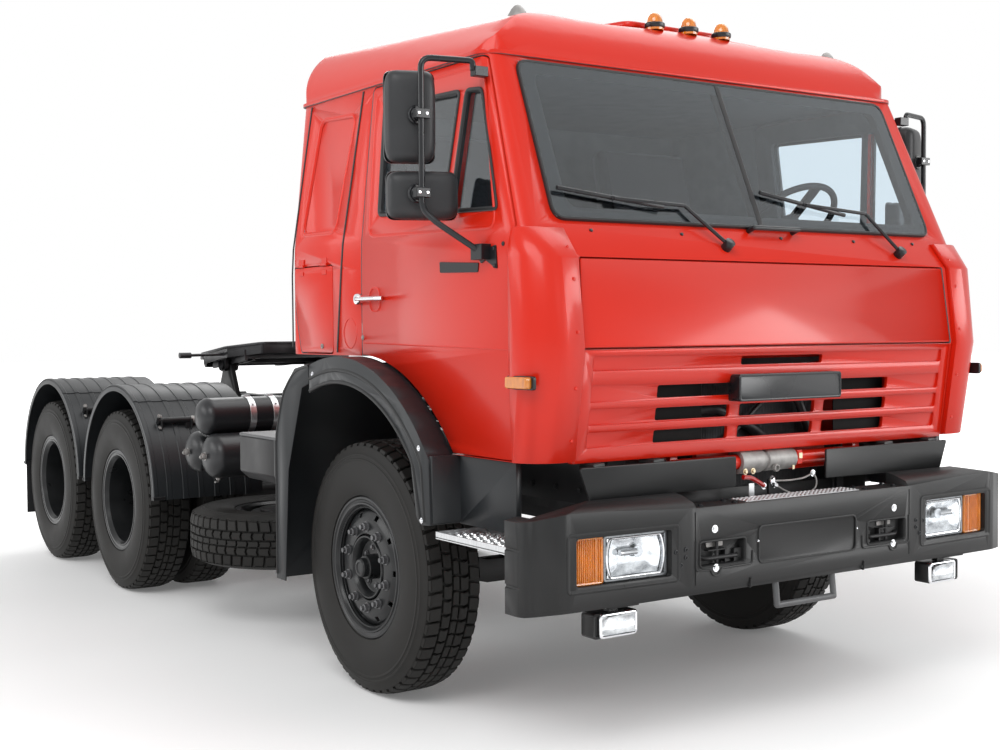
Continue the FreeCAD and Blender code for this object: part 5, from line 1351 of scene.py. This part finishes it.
def coupling_details():
    """Grease ring, raised rim, release grip, skirts, pins and bolts, set on the tilted coupling plate."""
    grease = lathe([(0, 118), (1.5, 112), (1.5, 72), (0, 66)], (0, 0, 105), "Z", 40, closed=False)
    outline = [(-425, -150), (-295, -388), (295, -388), (425, -150), (425, 250), (292, 598), (220, 615),
               (160, 402), (70, 158), (-70, 158), (-160, 402), (-220, 615), (-292, 598), (-425, 250)]
    rim = gasket(round_outline(outline, 30), facing_up(104), [(3, -3), (1, 1.2), (-2, 1.2), (-5, -3)])
    grip = tube([(-640, -90, 57), (-712, -90, 57)], 18, sides=14)
    skirts = [block(x - 9, x + 9, -270, 250, 2, 70) for x in (-352, -300, 300, 352)]
    skirts += [block(-360, 360, y - 8, y + 8, 14, 70) for y in (-265, 60, 240)]
    pin = [(-10, 34), (0, 34), (10, 28), (10, 1)]
    pins = [lathe(pin, (x, 0, 0), "X", 24, closed=False) for x in (-402, 402)]
    bolts = [hex_bolt((x, y, 105), (0, 0, 1), 11, 5) for x in (-240, 240) for y in (-260, -60, 140)]
    shape = turned(merge(grease, rim, grip, *skirts, *pins, *bolts), COUPLER_TILT, "X")
    piece("coupling_trim", moved(shape, *COUPLER), IRON, "fifth_wheel")


def engine_details():
    """Cooler with fins and hoses, near-black sheets of painted shade beside it, rocker covers and the axles'
    flanges.
    """
    fins = [block(-332 + 8.3 * i, -330 + 8.3 * i, -1086, -1079, 760, 1300) for i in range(80)]
    frame_bars = [block(-345, 345, -1092, -1078, 1300, 1338), block(-345, 345, -1092, -1078, 722, 760),
                  block(-345, -332, -1092, -1078, 722, 1338), block(332, 345, -1092, -1078, 722, 1338)]
    piece("cooler_fins", merge(*fins), MACHINE)
    piece("cooler_frame", merge(*frame_bars), FRAME, bevel=2)
    wide = [(-300, -1095, 1180), (-240, -1118, 1190), (-60, -1120, 1120), (40, -1095, 1060)]
    middle = [(120, -1095, 1230), (200, -1120, 1220), (270, -1118, 1080), (300, -1095, 1040)]
    thin = [(-210, -1095, 1060), (-150, -1112, 1080), (60, -1112, 1235), (150, -1095, 1250)]
    hoses = merge(tube(wide, 22, 50, 12), tube(middle, 18, 40, 12), tube(thin, 9, 60, 8))
    piece("cooler_hoses", hoses, HOSE)
    # near-black sheets behind the outer grille slots and low beside the cooler are painted shade, not real
    # screens or baffles
    shade_sheets = both(block(-640, -352, -1172, -1168, 1060, 1345))
    piece("grille_shade_sheets", shade_sheets, SEAM_AND_SHADE_BLACK, "cab")
    shade_panels = both(block(-640, -346, -1086, -1080, 560, 925))
    piece("lower_shade_panels", shade_panels, SEAM_AND_SHADE_BLACK)
    covers = []
    for x in (-235, 95):
        covers += [block(x, x + 140, 190 * i - 540, 190 * i - 390, 1325, 1372) for i in range(4)]
    piece("rocker_covers", merge(*covers), ZINC, bevel=12, segments=3)
    flange = [lathe([(0, 140), (14, 140), (14, 48), (0, 48)], (0, y, 550), "Y", 32) for y in (2500, 3860)]
    piece("axle_flanges", merge(*flange), FRAME)


def hinge_beam():
    """Cast sleeves on the cab's front hinge beam, the red member and the small parts in the gap below it."""
    sleeve = [(-172, 38), (-172, 45), (-160, 47), (-60, 47), (-48, 42), (-44, 36), (-34, 36), (-30, 43),
              (96, 43), (104, 40), (118, 40), (118, 30), (-172, 30)]
    sleeve = lathe(sleeve, HINGE_BEAM, "X", 48)
    boss = lathe([(0, 15), (-12, 14), (-14, 10), (-4, 8), (-4, 0.5)], (-5, -1206, 956), "Y", 24, closed=False)
    piece("hinge_sleeves", merge(sleeve, boss), ZINC, "cab", smooth=30)
    member = [block(146, 345, -1132, -1114, 936, 1028), block(-345, -176, -1132, -1114, 936, 1028),
              block(120, 146, -1204, -1114, 962, 1016)]
    piece("front_member", merge(*member), RED, "cab", bevel=3)
    tops = [hex_bolt((x, -1204, 950), (0, -1, 0), 8, 9) for x in (-120, -160)]
    tops += [block(124, 142, -1208, -1203, 984, 1006), block(90, 101, -1206, -1202, 944, 960)]
    piece("gap_fittings", merge(*tops), BRASS, "cab", bevel=1)
    hose = tube([(-182, -1216, 932), (-140, -1216, 928), (-74, -1216, 893)], 9, 20, 10)
    piece("red_pipe", hose, RED_LENS)
    loop = tube([(-26, -1222, 900), (10, -1224, 876), (53, -1226, 858), (140, -1226, 842), (200, -1224, 868),
                 (206, -1222, 900), (186, -1220, 926)], 3, 30, 8)
    line = tube([(-20, -1218, 908), (60, -1218, 904), (140, -1218, 908), (186, -1218, 924)], 3.5, 30, 8)
    ends = [hex_bolt((-30, -1216, 909), (0.4, -1, 0.2), 13, 12),
            hex_bolt((-24, -1218, 893), (1, -0.6, -0.3), 9, 16),
            hex_bolt((188, -1216, 924), (0, -1, 0), 9, 9), hex_bolt((-74, -1214, 891), (0, -1, 0), 9, 8)]
    piece("gap_pipes", merge(loop, line), ZINC)
    piece("gap_unions", merge(*ends), CHROME)
    posts = [block(-52, -44, -1220, -1208, 800, 914), block(-50, 300, -1212, -1204, 826, 838),
             block(-240, -150, -1212, -1204, 826, 838)]
    tag = block(-150, -122, -1214, -1211, 854, 906)
    piece("gap_posts", merge(*posts), FRAME, bevel=1)
    piece("gap_tag", tag, STEEL, bevel=1)


def rear_lamp_details():
    """Rims round the rear lamps."""
    rim = gasket(round_rect(565, 112, 900, 54, 12), facing_rear(REAR_LAMP_Y),
                 [(4, -18), (4, 0), (0, 3), (-6, 3), (-8, 0)])
    piece("rear_lamp_rims", both(rim), SHINY)


frame_details()
coupling_details()
engine_details()
hinge_beam()
rear_lamp_details()


# Wheel arches

def arch_lips():
    """Rolled inner edge and ridge round each front wheel opening, and the beads of the guard behind it."""
    beads = []
    for radius, tail in ((764, (-642, 800)), (812, (-676, 792))):
        start, end = math.asin(255 / radius), -math.acos(480 / radius)
        arc = [(radius * math.sin(a), AXLE_Z + radius * math.cos(a)) for a in
               (start + (end - start) * i / 16 for i in range(17))]
        beads.append(tube([(-1246, y, z) for y, z in arc + [tail]], 9, 30, 10))
    piece("arch_beads", both(*beads), PLASTIC, "cab", smooth=50)
    bolts = [hex_bolt((-1250, y, z), (-1, 0, 0), 7, 5) for y, z in ((225, 1310), (-655, 796), (-640, 1060))]
    piece("arch_screws", both(*bolts), CHROME, "cab")
    guard = [(266, 1345), (400, 1322), (515, 1226), (594, 1036), (600, 420)]
    piece("mudguard_beads", both(tube([(-1246, y, z) for y, z in guard], 8, 60, 10)), PLASTIC)


arch_lips()


# Camera, light, floor

def camera():
    """The photo's camera, as solved from its rims and mirrored points."""
    place = (-3.7885, -6.6752, 1.4959)
    yaw, pitch, roll = math.radians(34.20), math.radians(-2.13), math.radians(-0.39)
    ahead = Vector((math.sin(yaw) * math.cos(pitch), math.cos(yaw) * math.cos(pitch), math.sin(pitch)))
    right = Vector((math.cos(yaw), -math.sin(yaw), 0))
    up = right.cross(ahead)
    right, up = right * math.cos(roll) + up * math.sin(roll), up * math.cos(roll) - right * math.sin(roll)
    data = bpy.data.cameras.new("photo_view")
    data.sensor_fit = "HORIZONTAL"
    data.sensor_width = 36
    data.lens = 49.298
    data.shift_x = -0.006715
    data.shift_y = 0.004211
    data.clip_end = 200
    obj = bpy.data.objects.new("photo_view", data)
    scene.collection.objects.link(obj)
    turn = Matrix((right, up, -ahead)).transposed().to_4x4()
    obj.matrix_world = Matrix.Translation(place) @ turn
    scene.camera = obj


def area_light(name, place, target, width, height, power, lit=True, mirrored=True):
    """Soft light; with lit off it only shows as a sheen, with mirrored off it casts none."""
    data = bpy.data.lights.new(name, "AREA")
    data.shape = "RECTANGLE"
    data.size, data.size_y = width, height
    data.energy = power
    obj = bpy.data.objects.new(name, data)
    scene.collection.objects.link(obj)
    direction = Vector(target) - Vector(place)
    obj.matrix_world = Matrix.Translation(place) @ direction.to_track_quat("-Z", "Y").to_matrix().to_4x4()
    obj.visible_diffuse = lit
    obj.visible_glossy = mirrored
    obj.visible_transmission = False


def seen_rays(tree):
    """One for camera, glossy and transmission rays, zero for the rest."""
    path = tree.nodes.new("ShaderNodeLightPath")
    last = path.outputs["Is Camera Ray"]
    for ray in ("Is Glossy Ray", "Is Transmission Ray"):
        most = tree.nodes.new("ShaderNodeMath")
        most.operation = "MAXIMUM"
        tree.links.new(last, most.inputs[0])
        tree.links.new(path.outputs[ray], most.inputs[1])
        last = most.outputs[0]
    return last


def studio():
    """White surroundings and the lamps."""
    world = bpy.data.worlds.new("studio")
    scene.world = world
    world.use_nodes = True
    tree = world.node_tree
    back = tree.nodes["Background"]
    back.inputs["Color"].default_value = (1, 1, 1, 1)
    level = tree.nodes.new("ShaderNodeMapRange")
    level.inputs["To Min"].default_value = 0.48
    level.inputs["To Max"].default_value = 1.0
    tree.links.new(seen_rays(tree), level.inputs["Value"])
    tree.links.new(level.outputs["Result"], back.inputs["Strength"])
    area_light("key", (-6, -7, 8), (0, -1, 1.2), 6, 4, 440)
    area_light("side", (-9, 2, 4.5), (0, 0.5, 1), 7, 3, 230)
    area_light("front", (3, -11, 5), (0, -2, 1.4), 5, 3, 190, mirrored=False)
    area_light("back", (5, 8, 7), (0, 1, 1), 6, 4, 230)
    area_light("front_sheen", (8.6, -11.2, 4.0), (0, -3, 1.6), 11, 3.7, 900, lit=False)
    area_light("roof_sheen", (4.2, -1.0, 9.2), (0, -2.4, 2.7), 8, 8, 450, lit=False)


def floor():
    """Wide pale floor that glows white away from the truck."""
    half = 60
    mesh = bpy.data.meshes.new("floor")
    corners = [(-half, -half, 0), (half, -half, 0), (half, half, 0), (-half, half, 0)]
    mesh.from_pydata(corners, [], [(0, 1, 2, 3)])
    obj = bpy.data.objects.new("floor", mesh)
    scene.collection.objects.link(obj)
    made = bpy.data.materials.new("pale_floor")
    made.use_nodes = True
    tree = made.node_tree
    bsdf = tree.nodes["Principled BSDF"]
    bsdf.inputs["Base Color"].default_value = (0.90, 0.90, 0.90, 1)
    bsdf.inputs["Roughness"].default_value = 0.65
    bsdf.inputs["Specular IOR Level"].default_value = 0.2
    bsdf.inputs["Emission Color"].default_value = (1, 1, 1, 1)
    place = tree.nodes.new("ShaderNodeTexCoord")
    reach = tree.nodes.new("ShaderNodeVectorMath")
    reach.operation = "LENGTH"
    tree.links.new(place.outputs["Object"], reach.inputs[0])
    glow = tree.nodes.new("ShaderNodeMapRange")
    glow.interpolation_type = "SMOOTHSTEP"
    glow.inputs["From Min"].default_value = 2.0
    glow.inputs["From Max"].default_value = 6.4
    glow.inputs["To Min"].default_value = 0.12
    glow.inputs["To Max"].default_value = 1.0
    tree.links.new(reach.outputs["Value"], glow.inputs["Value"])
    level = tree.nodes.new("ShaderNodeMath")
    level.operation = "MULTIPLY"
    tree.links.new(glow.outputs["Result"], level.inputs[1])
    tree.links.new(seen_rays(tree), level.inputs[0])
    tree.links.new(level.outputs[0], bsdf.inputs["Emission Strength"])
    mesh.materials.append(made)


camera()
studio()
floor()
scene.view_settings.view_transform = "Standard"
